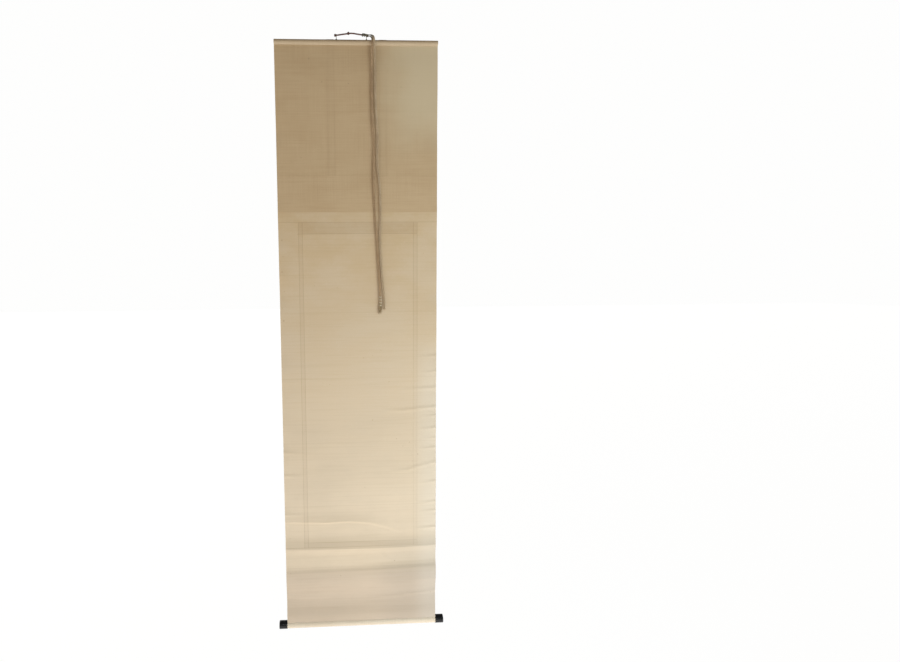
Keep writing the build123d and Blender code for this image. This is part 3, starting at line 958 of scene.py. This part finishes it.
# %% Rows and columns of the sheet's meshes
LINE_GAP = 1.3 * MM


def spread(start, end, step):
    count = max(2, int(math.ceil(abs(end - start) / step)) + 1)
    return list(np.linspace(start, end, count))


def with_lines(places, lines, width, gap):
    """Add three places at each line and drop the plain places too near to them."""
    lines = [line for line in lines if min(places) + gap < line < max(places) - gap]
    kept = [p for p in places if all(abs(p - line) > gap for line in lines)]
    kept += [line + side * width for line in lines for side in (-1, 0, 1)]
    return kept


def sheet_rows(high, low):
    """Rows from high to low: coarse at the top, closer where the sheet is creased."""
    bands = [(0, 820, 6.0), (820, 1260, 3.0), (1260, 1480, 1.7), (1480, 1700, 3.0)]
    rows = [high, low]
    for first, last, step in bands:
        rows += [z for z in spread(to_z(first), to_z(last), step * MM) if low < z < high]
    rows = sorted(rows)
    between = [
        z for z, before in zip(rows[1:-1], rows) if z - before > 0.3 * MM and rows[-1] - z > 0.8 * MM
    ]
    rows = with_lines([rows[0], *between, rows[-1]], seam_z + joint_z, LINE, LINE_GAP)
    return sorted(set(round(z, 6) for z in rows), reverse=True)


def sheet_columns(left, right, lines=()):
    columns = spread(left + 1.2 * MM, right - 1.2 * MM, 8 * MM) + [left, right]
    return sorted(set(round(x, 6) for x in with_lines(columns, lines, LINE, LINE_GAP)))


def layer(name, columns, rows, front, back, masks=True):
    """A closed sheet on a grid. front and back give each face's y before the sheet's own shape is added."""
    x, z = np.meshgrid(np.array(columns), np.array(rows))
    shape = sheet_shape(x, z)
    wide, tall = len(columns), len(rows)
    grids = [np.stack([x, face(x, z) + shape, z], axis=-1).reshape(-1, 3) for face in (front, back)]
    vertices = np.concatenate(grids)
    index = np.arange(wide * tall).reshape(tall, wide)
    a, b, c, d = index[:-1, :-1], index[:-1, 1:], index[1:, 1:], index[1:, :-1]
    far = wide * tall
    back_faces = np.stack([a, b, c, d], axis=-1).reshape(-1, 4) + far
    front_faces = np.stack([a, d, c, b], axis=-1).reshape(-1, 4)
    loop = np.concatenate([index[0, :], index[1:, -1], index[-1, -2::-1], index[-2:0:-1, 0]])
    after = np.roll(loop, -1)
    rim = np.stack([loop, after, after + far, loop + far], axis=-1)
    piece = link_mesh(name, vertices, np.concatenate([front_faces, back_faces, rim]))
    if masks:
        for label, mask in MASKS.items():
            values = np.tile(mask(x, z).reshape(-1), 2).astype(np.float32)
            piece.data.attributes.new(label, "FLOAT", "POINT").data.foreach_set("value", values)
    return piece


def level(height):
    return lambda x, z: np.full_like(x, height)


# %% [markdown]
# ## Lining paper and cover silk
# The back is lining paper, pasted up from short sheets whose ends overlap. Its top is covered with a thin
# tan silk, which is the outside of the roll when the scroll is put away. Both are built as closed layers.

# %% The back
STEP = 0.10 * MM


def backing_back(x, z):
    """The back face, with a raised step at each joint and over each strip seam."""
    return sheet_high.y + STEP * np.maximum(joint_mask(x, z), 0.8 * seam_mask(x, z)) * (z < cover_low.z)


backing = layer(
    "lining_paper", sheet_columns(sheet_low.x, sheet_high.x, seam_x), sheet_rows(sheet_high.z, sheet_foot),
    level(sheet_y), backing_back,
)
finish_piece(backing, backing_finish, "backing_paper", "backing_paper")


def cover_back(x, z):
    return cover_high.y + STEP * np.maximum(joint_mask(x, z), seam_mask(x, z))


cover = layer(
    "cover_silk_layer", sheet_columns(cover_low.x, cover_high.x, hung_x), sheet_rows(cover_high.z, cover_low.z),
    level(cover_low.y - 0.02 * MM), cover_back,
)
finish_piece(cover, cover_finish, "cover_silk", "cover_silk")

# %% The front layers
def front_layer(name, node, material, slot, proud=0.0):
    """A piece of the front. One that stands proud also laps over its neighbours."""
    low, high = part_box(node)
    lap = 1.5 * MM if proud else 0.0
    columns = sheet_columns(max(low.x - lap, sheet_low.x), min(high.x + lap, sheet_high.x))
    rows = sheet_rows(high.z + lap, max(low.z, sheet_foot) - lap)
    piece = layer(name, columns, rows, level(low.y - proud), level(high.y), masks=False)
    return finish_piece(piece, material, slot, node)


front_pieces = [
    front_layer("heaven_silk", "heaven_cloth", mount_finish, "mount_silk"),
    front_layer("earth_silk", "earth_cloth", mount_finish, "mount_silk"),
    front_layer("pillar_silk_left", "pillar_left", pillar_finish, "pillar_silk"),
    front_layer("pillar_silk_right", "pillar_right", pillar_finish, "pillar_silk"),
    front_layer("picture_sheet", "picture_paper", picture_finish, "picture_paper"),
    front_layer("strip_silk_upper", "upper_strip", strip_finish, "strip_silk", proud=0.10 * MM),
    front_layer("strip_silk_lower", "lower_strip", strip_finish, "strip_silk", proud=0.10 * MM),
    front_layer("strip_silk_left", "side_strip_left", strip_finish, "strip_silk", proud=0.12 * MM),
    front_layer("strip_silk_right", "side_strip_right", strip_finish, "strip_silk", proud=0.12 * MM),
]
for piece in [backing, cover] + front_pieces:
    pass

# %% [markdown]
# ## The stave and the roller
# The stave is a thin strip of wood, flat in front and rounded behind. Silk is pasted round its back, and
# its wood shows at the two ends. The roller is a round rod with the foot of the sheet pasted round it. Both
# wraps are thin shells: one outline is walked along x, with a slight unevenness where the silk has lifted.

# %% A shell walked along x
def wrapped_shell(name, outline, columns, thickness, closed, unevenness):
    """outline gives (y, z, outward y, outward z) points; the shell lies inside it."""
    rings = []
    for x in columns:
        outer, inner = [], []
        for k, (y, z, oy, oz) in enumerate(outline):
            waves = math.sin(x * 95 + k * 0.31) + math.sin(x * 231 - k * 0.53) + 0.6 * math.sin(x * 613 + k)
            lift = unevenness * waves / 2.6
            outer.append((x, y + oy * lift, z + oz * lift))
            inner.append((x, y - oy * thickness, z - oz * thickness))
        rings.append(outer + inner[::-1])
    count = len(rings[0])
    half = len(outline)
    vertices = [v for ring in rings for v in ring]
    faces = []
    for r in range(len(rings) - 1):
        for k in range(count):
            if closed and k in (half - 1, count - 1):
                continue
            after = (k + 1) % count
            faces.append((r * count + k, r * count + after, (r + 1) * count + after, (r + 1) * count + k))
        if closed:
            faces.append((r * count + half - 1, r * count, (r + 1) * count, (r + 1) * count + half - 1))
            last = (r + 1) * count
            faces.append((last - 1, last + count - 1, last + half, r * count + half))
    for base in (0, (len(rings) - 1) * count):
        for k in range(half - 1):
            faces.append((base + k, base + k + 1, base + count - 2 - k, base + count - 1 - k))
        if closed:
            faces.append((base + half - 1, base, base + count - 1, base + half))
    piece = link_mesh(name, vertices, faces, 50)
    face_outwards(piece)
    return piece


def outward(points, closed=False):
    """Add each point's outward direction to an outline that runs with its outside on the left."""
    found = []
    for k, (y, z) in enumerate(points):
        before = points[k - 1] if k or closed else points[k]
        after = points[(k + 1) % len(points)] if k + 1 < len(points) or closed else points[k]
        run = Vector((after[0] - before[0], after[1] - before[1])).normalized()
        found.append((y, z, -run.y, run.x))
    return found


# %% Silk round the stave
ARC_STEPS = 24
lip_y = sheet_y + 1.5 * MM
stave_back, stave_bottom, stave_middle = stave_high.y, stave_low.z, (stave_low.z + stave_high.z) / 2
rise = (stave_high.z - stave_low.z) / 2
bulge = stave_back - lip_y
arc_radius = (rise**2 + bulge**2) / (2 * bulge)
arc_y = stave_back - arc_radius
half_arc = math.asin(rise / arc_radius)
stave_points = [(sheet_y, stave_bottom), (sheet_y + 0.8 * MM, stave_bottom)]
for k in range(ARC_STEPS + 1):
    a = -half_arc + 2 * half_arc * k / ARC_STEPS
    stave_points.append((arc_y + arc_radius * math.cos(a), stave_middle + arc_radius * math.sin(a)))
stave_points += [(sheet_y + 0.8 * MM, stave_high.z), (sheet_y, stave_high.z)]
stave_outline = [(y, z, -oy, -oz) for y, z, oy, oz in outward(stave_points)]
stave_columns = spread(stave_low.x, stave_high.x, 5 * MM)
stave_silk = wrapped_shell("stave_silk", stave_outline, stave_columns, ply, False, 0.05 * MM)
finish_piece(stave_silk, stave_silk_finish, "mount_silk", "stave_wrap")

# %% Silk round the roller
ROLLER_SIDES = 72
LAP_ANGLE, LAP_WIDTH, LAP_HEIGHT = math.radians(236), math.radians(40), 0.12 * MM
roller_points = []
for k in range(ROLLER_SIDES):
    a = math.tau * k / ROLLER_SIDES
    swell = LAP_HEIGHT * (1 if 0 <= (a - LAP_ANGLE) % math.tau < LAP_WIDTH else 0)
    radius = roller_radius + swell * 0.8
    roller_points.append((roller_axis[0] + radius * math.cos(a), roller_axis[1] + radius * math.sin(a)))
roller_outline = [
    (y, z, (y - roller_axis[0]) / roller_radius, (z - roller_axis[1]) / roller_radius) for y, z in roller_points
]
roller_columns = spread(roller_low.x, roller_high.x, 5 * MM)
roller_silk = wrapped_shell("roller_silk", roller_outline, roller_columns, ply, True, 0.06 * MM)
finish_piece(roller_silk, roller_silk_finish, "mount_silk", "roller_wrap")
for node in ("top_stave", "roller"):
    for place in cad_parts[node].material_slots:
        place.material = wood_finish


# %% [markdown]
# ## The knobs
# A knob is turned from wood and lacquered black. Its profile is spun round the roller's axis, with more
# points at the two rounded edges and a very slight hollow in the end face, as a turned piece has.

# %% Turn the knobs
KNOB_SIDES = 96


def quarter(steps):
    """Angles through a quarter turn, for a rounded edge."""
    return [QUARTER_TURN * k / steps for k in range(steps + 1)]


def turned_knob(name, node, side):
    low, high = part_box(node)
    length, radius = high.x - low.x, (high.z - low.z) / 2
    start = high.x if side < 0 else low.x
    inner, outer = 0.6 * MM, 1.0 * MM
    profile = [(0.0, 5.0 * MM), (0.0, radius - inner - 0.3 * MM)]
    profile += [(inner - inner * math.cos(t), radius - inner + inner * math.sin(t)) for t in quarter(5)]
    profile += [(length * share, radius) for share in (0.2, 0.45, 0.7, 0.88)]
    profile += [
        (length - outer + outer * math.sin(t), radius - outer + outer * math.cos(t)) for t in quarter(8)
    ]
    profile += [(length - 0.05 * MM, radius * 0.86), (length - 0.22 * MM, radius * 0.6)]
    profile += [(length - 0.3 * MM, radius * 0.3), (length - 0.3 * MM, 0.02 * MM)]
    vertices, faces, count = [], [], KNOB_SIDES
    for along, r in profile:
        for k in range(count):
            a = math.tau * k / count
            vertices.append((start + side * along, roller_axis[0] + r * math.cos(a), roller_axis[1] + r * math.sin(a)))
    for ring in range(len(profile) - 1):
        for k in range(count):
            after = (k + 1) % count
            faces.append((ring * count + k, ring * count + after, (ring + 1) * count + after, (ring + 1) * count + k))
    faces.append(tuple(range(count)))
    faces.append(tuple((len(profile) - 1) * count + k for k in range(count)))
    piece = link_mesh(name, vertices, faces, 30)
    face_outwards(piece)
    return finish_piece(piece, lacquer_finish, "black_lacquer", node)


turned_knob("lacquered_knob_left", "knob_left", -1)
turned_knob("lacquered_knob_right", "knob_right", 1)


# %% [markdown]
# ## Eyelets and knots
# Each eyelet is one wire: up out of the stave, once round, and back beside its own neck. The knots are the
# cord itself, tied. A wire or a cord that follows a line is a curve with a round bevel, made a mesh.

# %% A tube along points
def tube(name, points, radius, material, sides=8):
    """A round tube of one finish, closed at its two ends."""
    curve = bpy.data.curves.new(name, "CURVE")
    curve.dimensions = "3D"
    curve.resolution_u = 6
    curve.bevel_depth = radius
    curve.bevel_resolution = max(1, sides // 2 - 2)
    curve.use_fill_caps = True
    spline = curve.splines.new("NURBS")
    spline.points.add(len(points) - 1)
    for point, place in zip(spline.points, points):
        point.co = (*place, 1.0)
    spline.order_u = 4
    spline.use_endpoint_u = True
    made = add_object(name, curve)
    mesh = bpy.data.meshes.new_from_object(made)
    bpy.data.objects.remove(made)
    piece = add_object(name, mesh)
    mesh.shade_smooth()
    face_outwards(piece)
    mesh.materials.clear()
    mesh.materials.append(material)
    return piece


def join(name, pieces):
    """Join meshes into one object at the origin."""
    shape = bmesh.new()
    for piece in pieces:
        shape.from_mesh(piece.data)
    mesh = bpy.data.meshes.new(name)
    shape.to_mesh(mesh)
    shape.free()
    for material in pieces[0].data.materials:
        mesh.materials.append(material)
    for piece in pieces:
        bpy.data.objects.remove(piece)
    mesh.shade_smooth()
    return add_object(name, mesh)


# %% Bend the eyelets
WIRE_RADIUS = 0.7 * MM
for word in ("left", "right"):
    low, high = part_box(f"eyelet_{word}")
    centre_x = (low.x + high.x) / 2
    loop_r = (high.y - low.y) / 2 - WIRE_RADIUS
    loop_z = high.z - WIRE_RADIUS - loop_r
    points = [
        (centre_x - 0.1 * MM, 0.0, low.z), (centre_x - 0.1 * MM, 0.0, (low.z + loop_z) / 2),
        (centre_x - 0.15 * MM, 0.0, loop_z - loop_r - 1.6 * MM),
    ]
    for k in range(23):
        a = math.radians(-100 + 15.5 * k)
        points.append((centre_x - 0.15 * MM + 0.03 * MM * k, loop_r * math.cos(a), loop_z + loop_r * math.sin(a)))
    eyelet = tube(f"wire_eyelet_{word}", points, WIRE_RADIUS, brass_finish, 10)
    finish_piece(eyelet, brass_finish, "aged_brass", f"eyelet_{word}")
    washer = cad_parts[f"eyelet_washer_{word}"]
    washer.data.materials.clear()
    washer.data.materials.append(brass_finish)


# %% Tie the knots
def overhand(centre, outwards, scale, length):
    """Points of an overhand knot whose cord comes in along the cord's line and ends just outside it."""
    points = []
    for k in range(34):
        t = math.radians(20 + 320 * k / 33)
        ring_y = (math.cos(t) - 2 * math.cos(2 * t)) * scale
        ring_z = (math.sin(t) + 2 * math.sin(2 * t)) * scale
        points.append((centre[0] + outwards * math.sin(3 * t) * length, centre[1] + ring_y, centre[2] + ring_z))
    return points


def knot_piece(name, node, centre, outwards, scale, length, width):
    """Tie the hanging cord itself: its twist follows the knot's own line."""
    points = [(x / MM, y / MM, z / MM) for x, y, z in overhand(centre, outwards, scale, length)]
    line = route_curve(name + "_line", points, 6)
    made = run_tree(
        name, line, braid_tree, Strands=3, Width=width, Thickness=width, Strand_radius=0.3 * width,
        Pitch=7.0 * MM, Crossings=1.0, Lead=QUARTER_TURN, Twist=0.0, Step=0.45 * MM, Round=True,
        Finish=hanging_cord_finish,
    )
    bpy.data.objects.remove(line)
    return finish_piece(made, None, "hanging_braid", node)


end_knots = []
for word, side in (("left", -1), ("right", 1)):
    low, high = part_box(f"end_knot_{word}")
    end_knots.append(
        knot_piece(
            f"stopper_knot_{word}", f"end_knot_{word}", (low + high) / 2, side, 0.84 * MM, 1.25 * MM, 2.5 * MM
        )
    )
low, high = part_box("peak_knot")
peak_knot = knot_piece("peak_knot_tied", "peak_knot", (low + high) / 2, 1, 0.98 * MM, 1.6 * MM, 2.7 * MM)

# %% [markdown]
# The winding cord is folded in half and its fold is hitched round the hanging cord: one turn, a bar across
# the back, and a second turn, with both tails coming out together. The hitch is one more short braid.

# %% Hitch the winding cord
hitch_low, hitch_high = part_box("winding_hitch")
turn_b, turn_a = hitch_low.x / MM + 1.3, hitch_high.x / MM + 0.9
hitch_route = [
    (-35.5, 6.4, -6.6), (-34.9, 5.6, -6.2), (turn_b, 3.2, -5.9), (turn_b, 0.0, -6.6), (turn_b, -2.6, -4.9),
    (turn_b, -2.4, -2.0), (turn_b, 0.2, -1.0), (turn_b + 0.2, 3.2, -1.7), (turn_b + 1.0, 4.6, -3.6),
    (turn_a - 1.0, 4.6, -4.0), (turn_a, 3.0, -5.9), (turn_a, 0.0, -6.3), (turn_a, -2.6, -4.6),
    (turn_a, -2.4, -1.7), (turn_a, 0.2, -0.6),
    (turn_a - 0.4, 3.4, -1.4), (turn_b + 0.8, 5.6, -3.0), (-35.5, 6.4, -3.6),
]
hitch_line = route_curve("hitch_line", hitch_route, 8)
hitch = run_tree(
    "winding_hitch_tied", hitch_line, braid_tree, Strands=7, Width=3.0 * MM, Thickness=2.2 * MM,
    Strand_radius=0.46 * MM, Pitch=9.0 * MM, Twist=0.0, Step=0.6 * MM, Round=True, Finish=hitch_finish,
)
bpy.data.objects.remove(hitch_line)
finish_piece(hitch, None, "winding_braid", "winding_hitch")

# %% [markdown]
# ## Loose thread ends
# The ends of the tails have come undone, and a small tuft of silk sits at each lower corner of the front
# strips. A tuft is the same thing many times over: a thread, bent and leaning its own way. A Geometry Nodes
# tree copies one bent thread at each anchor point, with a fixed seed, and gives it a round section.

# %% The tuft tree
def random_value(tree, low, high, seed, shift, kind="FLOAT"):
    """Random numbers or vectors with a fixed seed."""
    first, output = (0, 0) if kind == "FLOAT_VECTOR" else (2, 1)
    inputs = {first: low, first + 1: high, "Seed": seed + float(shift)}
    return wire(tree, "FunctionNodeRandomValue", output, inputs, data_type=kind)


def triple(tree, x, y, z):
    return wire(tree, "ShaderNodeCombineXYZ", 0, {0: x, 1: y, 2: z})


T, given = geometry_tree(
    "Tuft of threads",
    {
        "Threads": (WHOLE, 40), "Length": (NUMBER, 0.02), "Bend": (NUMBER, 0.003), "Spread": (NUMBER, 0.2),
        "Lean": (NUMBER, 0.0), "Thread radius": (NUMBER, 0.00014), "Root": (NUMBER, 0.001),
        "Seed": (WHOLE, 3), "Finish": (FINISH, None),
    },
)
tuft_tree = T
THREAD_POINTS = 7
anchors = wire(T, "GeometryNodeMeshToPoints", 0, {"Mesh": given["Geometry"]})
roots = wire(
    T, "GeometryNodeDuplicateElements", 0, {"Geometry": anchors, "Amount": given["Threads"]}, domain="POINT"
)
anywhere = random_value(T, (-1.0, -0.5, -1.0), (1.0, 0.5, 1.0), given["Seed"], 1, "FLOAT_VECTOR")
jitter = vector(T, "SCALE", anywhere, given["Root"])
shaken = wire(T, "GeometryNodeSetPosition", 0, {"Geometry": roots, "Offset": jitter})

# One thread hangs down and bends, and each copy of it leans and curls its own way.
bend_point = triple(T, given["Bend"], 0.0, given["Length"] * -0.55)
end_point = triple(T, 0.0, given["Bend"] * 0.3, given["Length"] * -1.0)
thread = wire(
    T, "GeometryNodeCurveQuadraticBezier", 0,
    {"Resolution": THREAD_POINTS, "Start": (0.0, 0.0, 0.0), "Middle": bend_point, "End": end_point},
)
less = given["Spread"] * -1.0
tilt_x = random_value(T, less, given["Spread"], given["Seed"], 2)
tilt_y = random_value(T, less, given["Spread"], given["Seed"], 3) + given["Lean"]
sizes = random_value(T, (-1.2, -1.2, 0.72), (1.2, 1.2, 1.08), given["Seed"], 4, "FLOAT_VECTOR")
placed = wire(
    T, "GeometryNodeInstanceOnPoints", 0,
    {"Points": shaken, "Instance": thread, "Rotation": triple(T, tilt_x * 0.45, tilt_y, 0.0), "Scale": sizes},
)
real = wire(T, "GeometryNodeRealizeInstances", 0, {"Geometry": placed})
which = (wire(T, "GeometryNodeInputIndex") / float(THREAD_POINTS)).to("FLOOR")
kept = store(T, real, along=wire(T, "GeometryNodeSplineParameter", "Length"), strand=which * 0.137)
skin(T, kept, round_profile(T, 4, given["Thread radius"]), given["Finish"], smooth=False)


def tuft(name, anchor_points, slot, **values):
    source = link_mesh(name + "_anchor", anchor_points, [])
    made = run_tree(name, source, tuft_tree, **values)
    bpy.data.objects.remove(source)
    return finish_piece(made, None, slot)


# %% Whip the inner tail above its brush of loose threads
COIL_STEPS = 14


def whipping(name, points, from_end, bands, gap, turns, width, deep, radius, material):
    """Bands of pale thread wound round a flat braid near its end."""
    ahead, distance = [], 0.0
    for a, b in zip(reversed(points), list(reversed(points))[1:]):
        ahead.append((distance, a, b))
        distance += (b - a).length
    made = []
    for band in range(bands):
        coil = []
        for k in range(turns * COIL_STEPS + 1):
            angle = math.tau * k / COIL_STEPS
            back = from_end + band * gap + k / COIL_STEPS * 1.9 * radius
            at, a, b = [step for step in ahead if step[0] <= back][-1]
            middle = a.lerp(b, (back - at) / (b - a).length)
            coil.append(middle + Vector((math.cos(angle) * width / 2, math.sin(angle) * deep / 2, 0)))
        made.append(tube(f"{name}_{band}", coil, radius, material, 6))
    return made


bands = whipping(
    "whip_band", inner_points, from_end=16 * MM, bands=4, gap=7.6 * MM, turns=4, width=6.6 * MM,
    deep=3.0 * MM, radius=0.42 * MM, material=pale_thread_finish,
)
tail_whipping = join("inner_tail_whipping", bands)
finish_piece(tail_whipping, None, "winding_braid")

# %% Thread ends of the two tails
end_i, end_o = inner_points[-1], outer_points[-1]
inner_fray = tuft(
    "inner_tail_fray",
    [(end_i.x + shift * MM, end_i.y, end_i.z + up * MM) for shift, up in ((0.2, 26), (-0.8, 20), (0.8, 14))],
    "winding_braid", Threads=34, Length=0.019, Bend=0.0035, Spread=0.22, Root=0.002, Thread_radius=0.0002,
    Seed=5, Finish=frayed_finish,
)
outer_fray = tuft(
    "outer_tail_fray", [(end_o.x + shift * MM, end_o.y, end_o.z + 2.2 * MM) for shift in (-1.6, 0, 1.6)],
    "winding_braid", Threads=16, Length=0.004, Bend=0.0006, Spread=0.25, Root=0.0007,
    Seed=9, Finish=frayed_finish,
)

# %% [markdown]
# Each cord is listed with its real length and the line that it follows, and printed. The pieces tied to
# it, which are its knots, its whipping and its loose ends, are listed and printed with it.

for piece, points, length, width, far_end, how, on_it in (
    (hanging_cord, hanging_points, 0.082, 0.0026, "object", "taut", end_knots + [peak_knot, hitch]),
    (inner_tail, inner_points, 0.737, 0.0056, "bare", "hanging", [tail_whipping, inner_fray]),
    (outer_tail, outer_points, 0.736, 0.0056, "bare", "hanging", [outer_fray]),
):
    print(piece.name, "declared,", length, "m long, with", [other.name for other in on_it])

# %% [markdown]
# ## The two front strips
# Two narrow strips of ribbed silk hang loose down the front. Each is folded over the stave's top and pasted
# there, and only that end is held, so it stands off the sheet a little more towards its free end.

# %% Hang the strips
strip_tufts = []
for word in ("left", "right"):
    low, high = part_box(f"hanging_strip_{word}")
    thick = 0.5 * MM
    strip_x = (low.x + high.x) / 2
    outline = []
    for z in spread(low.z, stave_high.z - 1.0 * MM, 4 * MM):
        drop = (stave_high.z - z) / (stave_high.z - low.z)
        stand_off = 0.15 * MM * min(1, drop * 20) + 1.8 * MM * drop**1.6 + 0.35 * MM * math.sin(drop * 11) * drop
        outline.append((low.y - stand_off + float(sheet_shape(np.array(strip_x), np.array(z))), z))
    outline += [(low.y + 0.12 * MM, high.z - 0.25 * MM), (low.y + 0.45 * MM, high.z)]
    outline += [((low.y + high.y) / 2, high.z), (high.y, high.z)]
    columns = spread(low.x, high.x, 2.2 * MM)
    strip = wrapped_shell(f"front_strip_{word}", outward(outline), columns, thick, False, 0.04 * MM)
    finish_piece(strip, strip_finish, "strip_silk", f"hanging_strip_{word}")
    foot_y = outline[0][0] + thick / 2
    for side, x in ((-1, low.x + 1.2 * MM), (1, high.x - 1.2 * MM)):
        made = tuft(
            f"strip_tuft_{word}_{'left' if side < 0 else 'right'}", [(x, foot_y, low.z + 0.6 * MM)],
            "strip_silk", Threads=46, Length=0.011, Bend=0.0022, Spread=0.5, Lean=-side * 0.35, Root=0.0005,
            Seed=20 + len(strip_tufts), Finish=pale_thread_finish,
        )
        strip_tufts.append(made)

# %% [markdown]
# ## Light and floor
# A scroll is looked at in soft light. A cool window stands low on the right of the back, and picks out the
# creases and the ribs of the roller. A weaker warm light and a pale sky fill the rest, and one more window
# lights the picture side. The floor is pale and a little bright itself, like a studio's white cove.

# %% Sky
scene = bpy.context.scene
scene.view_settings.view_transform = "Standard"
world = bpy.data.worlds.new("studio")
scene.world = world
world.use_nodes = True
sky = world.node_tree.nodes["Background"]
sky.inputs["Color"].default_value = (1.0, 0.985, 0.96, 1)
sky.inputs["Strength"].default_value = 0.14
backdrop = add_node(world.node_tree, "ShaderNodeBackground", {"Color": (1.0, 1.0, 0.995, 1), "Strength": 0.99})
is_camera = add_node(world.node_tree, "ShaderNodeLightPath").outputs["Is Camera Ray"]
both = add_node(world.node_tree, "ShaderNodeMixShader", {0: is_camera, 1: sky.outputs[0], 2: backdrop.outputs[0]})
world.node_tree.links.new(both.outputs[0], world.node_tree.nodes["World Output"].inputs["Surface"])


# %% Windows
def soft_light(name, kind, place, aim, strength, colour, size):
    lamp = bpy.data.lights.new(name, kind)
    lamp.energy = strength
    lamp.color = colour
    if kind == "AREA":
        lamp.shape = "RECTANGLE"
        lamp.size, lamp.size_y = size
    else:
        lamp.angle = math.radians(size)
    made = add_object(name, lamp)
    made.location = place
    made.rotation_euler = (Vector(aim) - Vector(place)).to_track_quat("-Z", "Y").to_euler()
    made.visible_camera = False
    print(name, kind, strength)


soft_light("low_window", "AREA", (-1.05, 1.35, -1.95), (0.0, 0.0, -1.15), 19.0, (0.90, 0.95, 1.0), (1.0, 1.0))
soft_light("tall_window", "AREA", (-1.15, 0.8, -0.7), (-0.15, 0.0, -0.75), 10.0, (0.56, 0.82, 1.0), (1.5, 1.8))
soft_light("bar_light", "AREA", (-0.1, 1.25, -0.95), (-0.05, 0.0, -1.6), 1.0, (0.85, 0.94, 1.0), (1.4, 0.05))
soft_light("warm_fill", "SUN", (0.6, 0.7, 0.35), (0.0, 0.0, 0.0), 0.26, (1.0, 0.91, 0.80), 60)
soft_light("front_window", "SUN", (0.45, -0.75, 0.55), (0.0, 0.0, 0.0), 1.7, (1.0, 0.98, 0.95), 40)

# %% Floor
FLOOR, REACH = -2.3, 30
corners = [(-REACH, -REACH, FLOOR), (REACH, -REACH, FLOOR), (REACH, REACH, FLOOR), (-REACH, REACH, FLOOR)]
floor_mesh = bpy.data.meshes.new("floor")
floor_mesh.from_pydata(corners, [], [(0, 1, 2, 3)])
floor = add_object("floor", floor_mesh)
floor_finish, tree = new_material("pale_floor")
set_shader(
    tree, Base_Color=(0.05, 0.0497, 0.049), Roughness=0.9, Emission_Color=(1.0, 1.0, 0.995),
    Emission_Strength=0.955,
)
floor_mesh.materials.append(floor_finish)
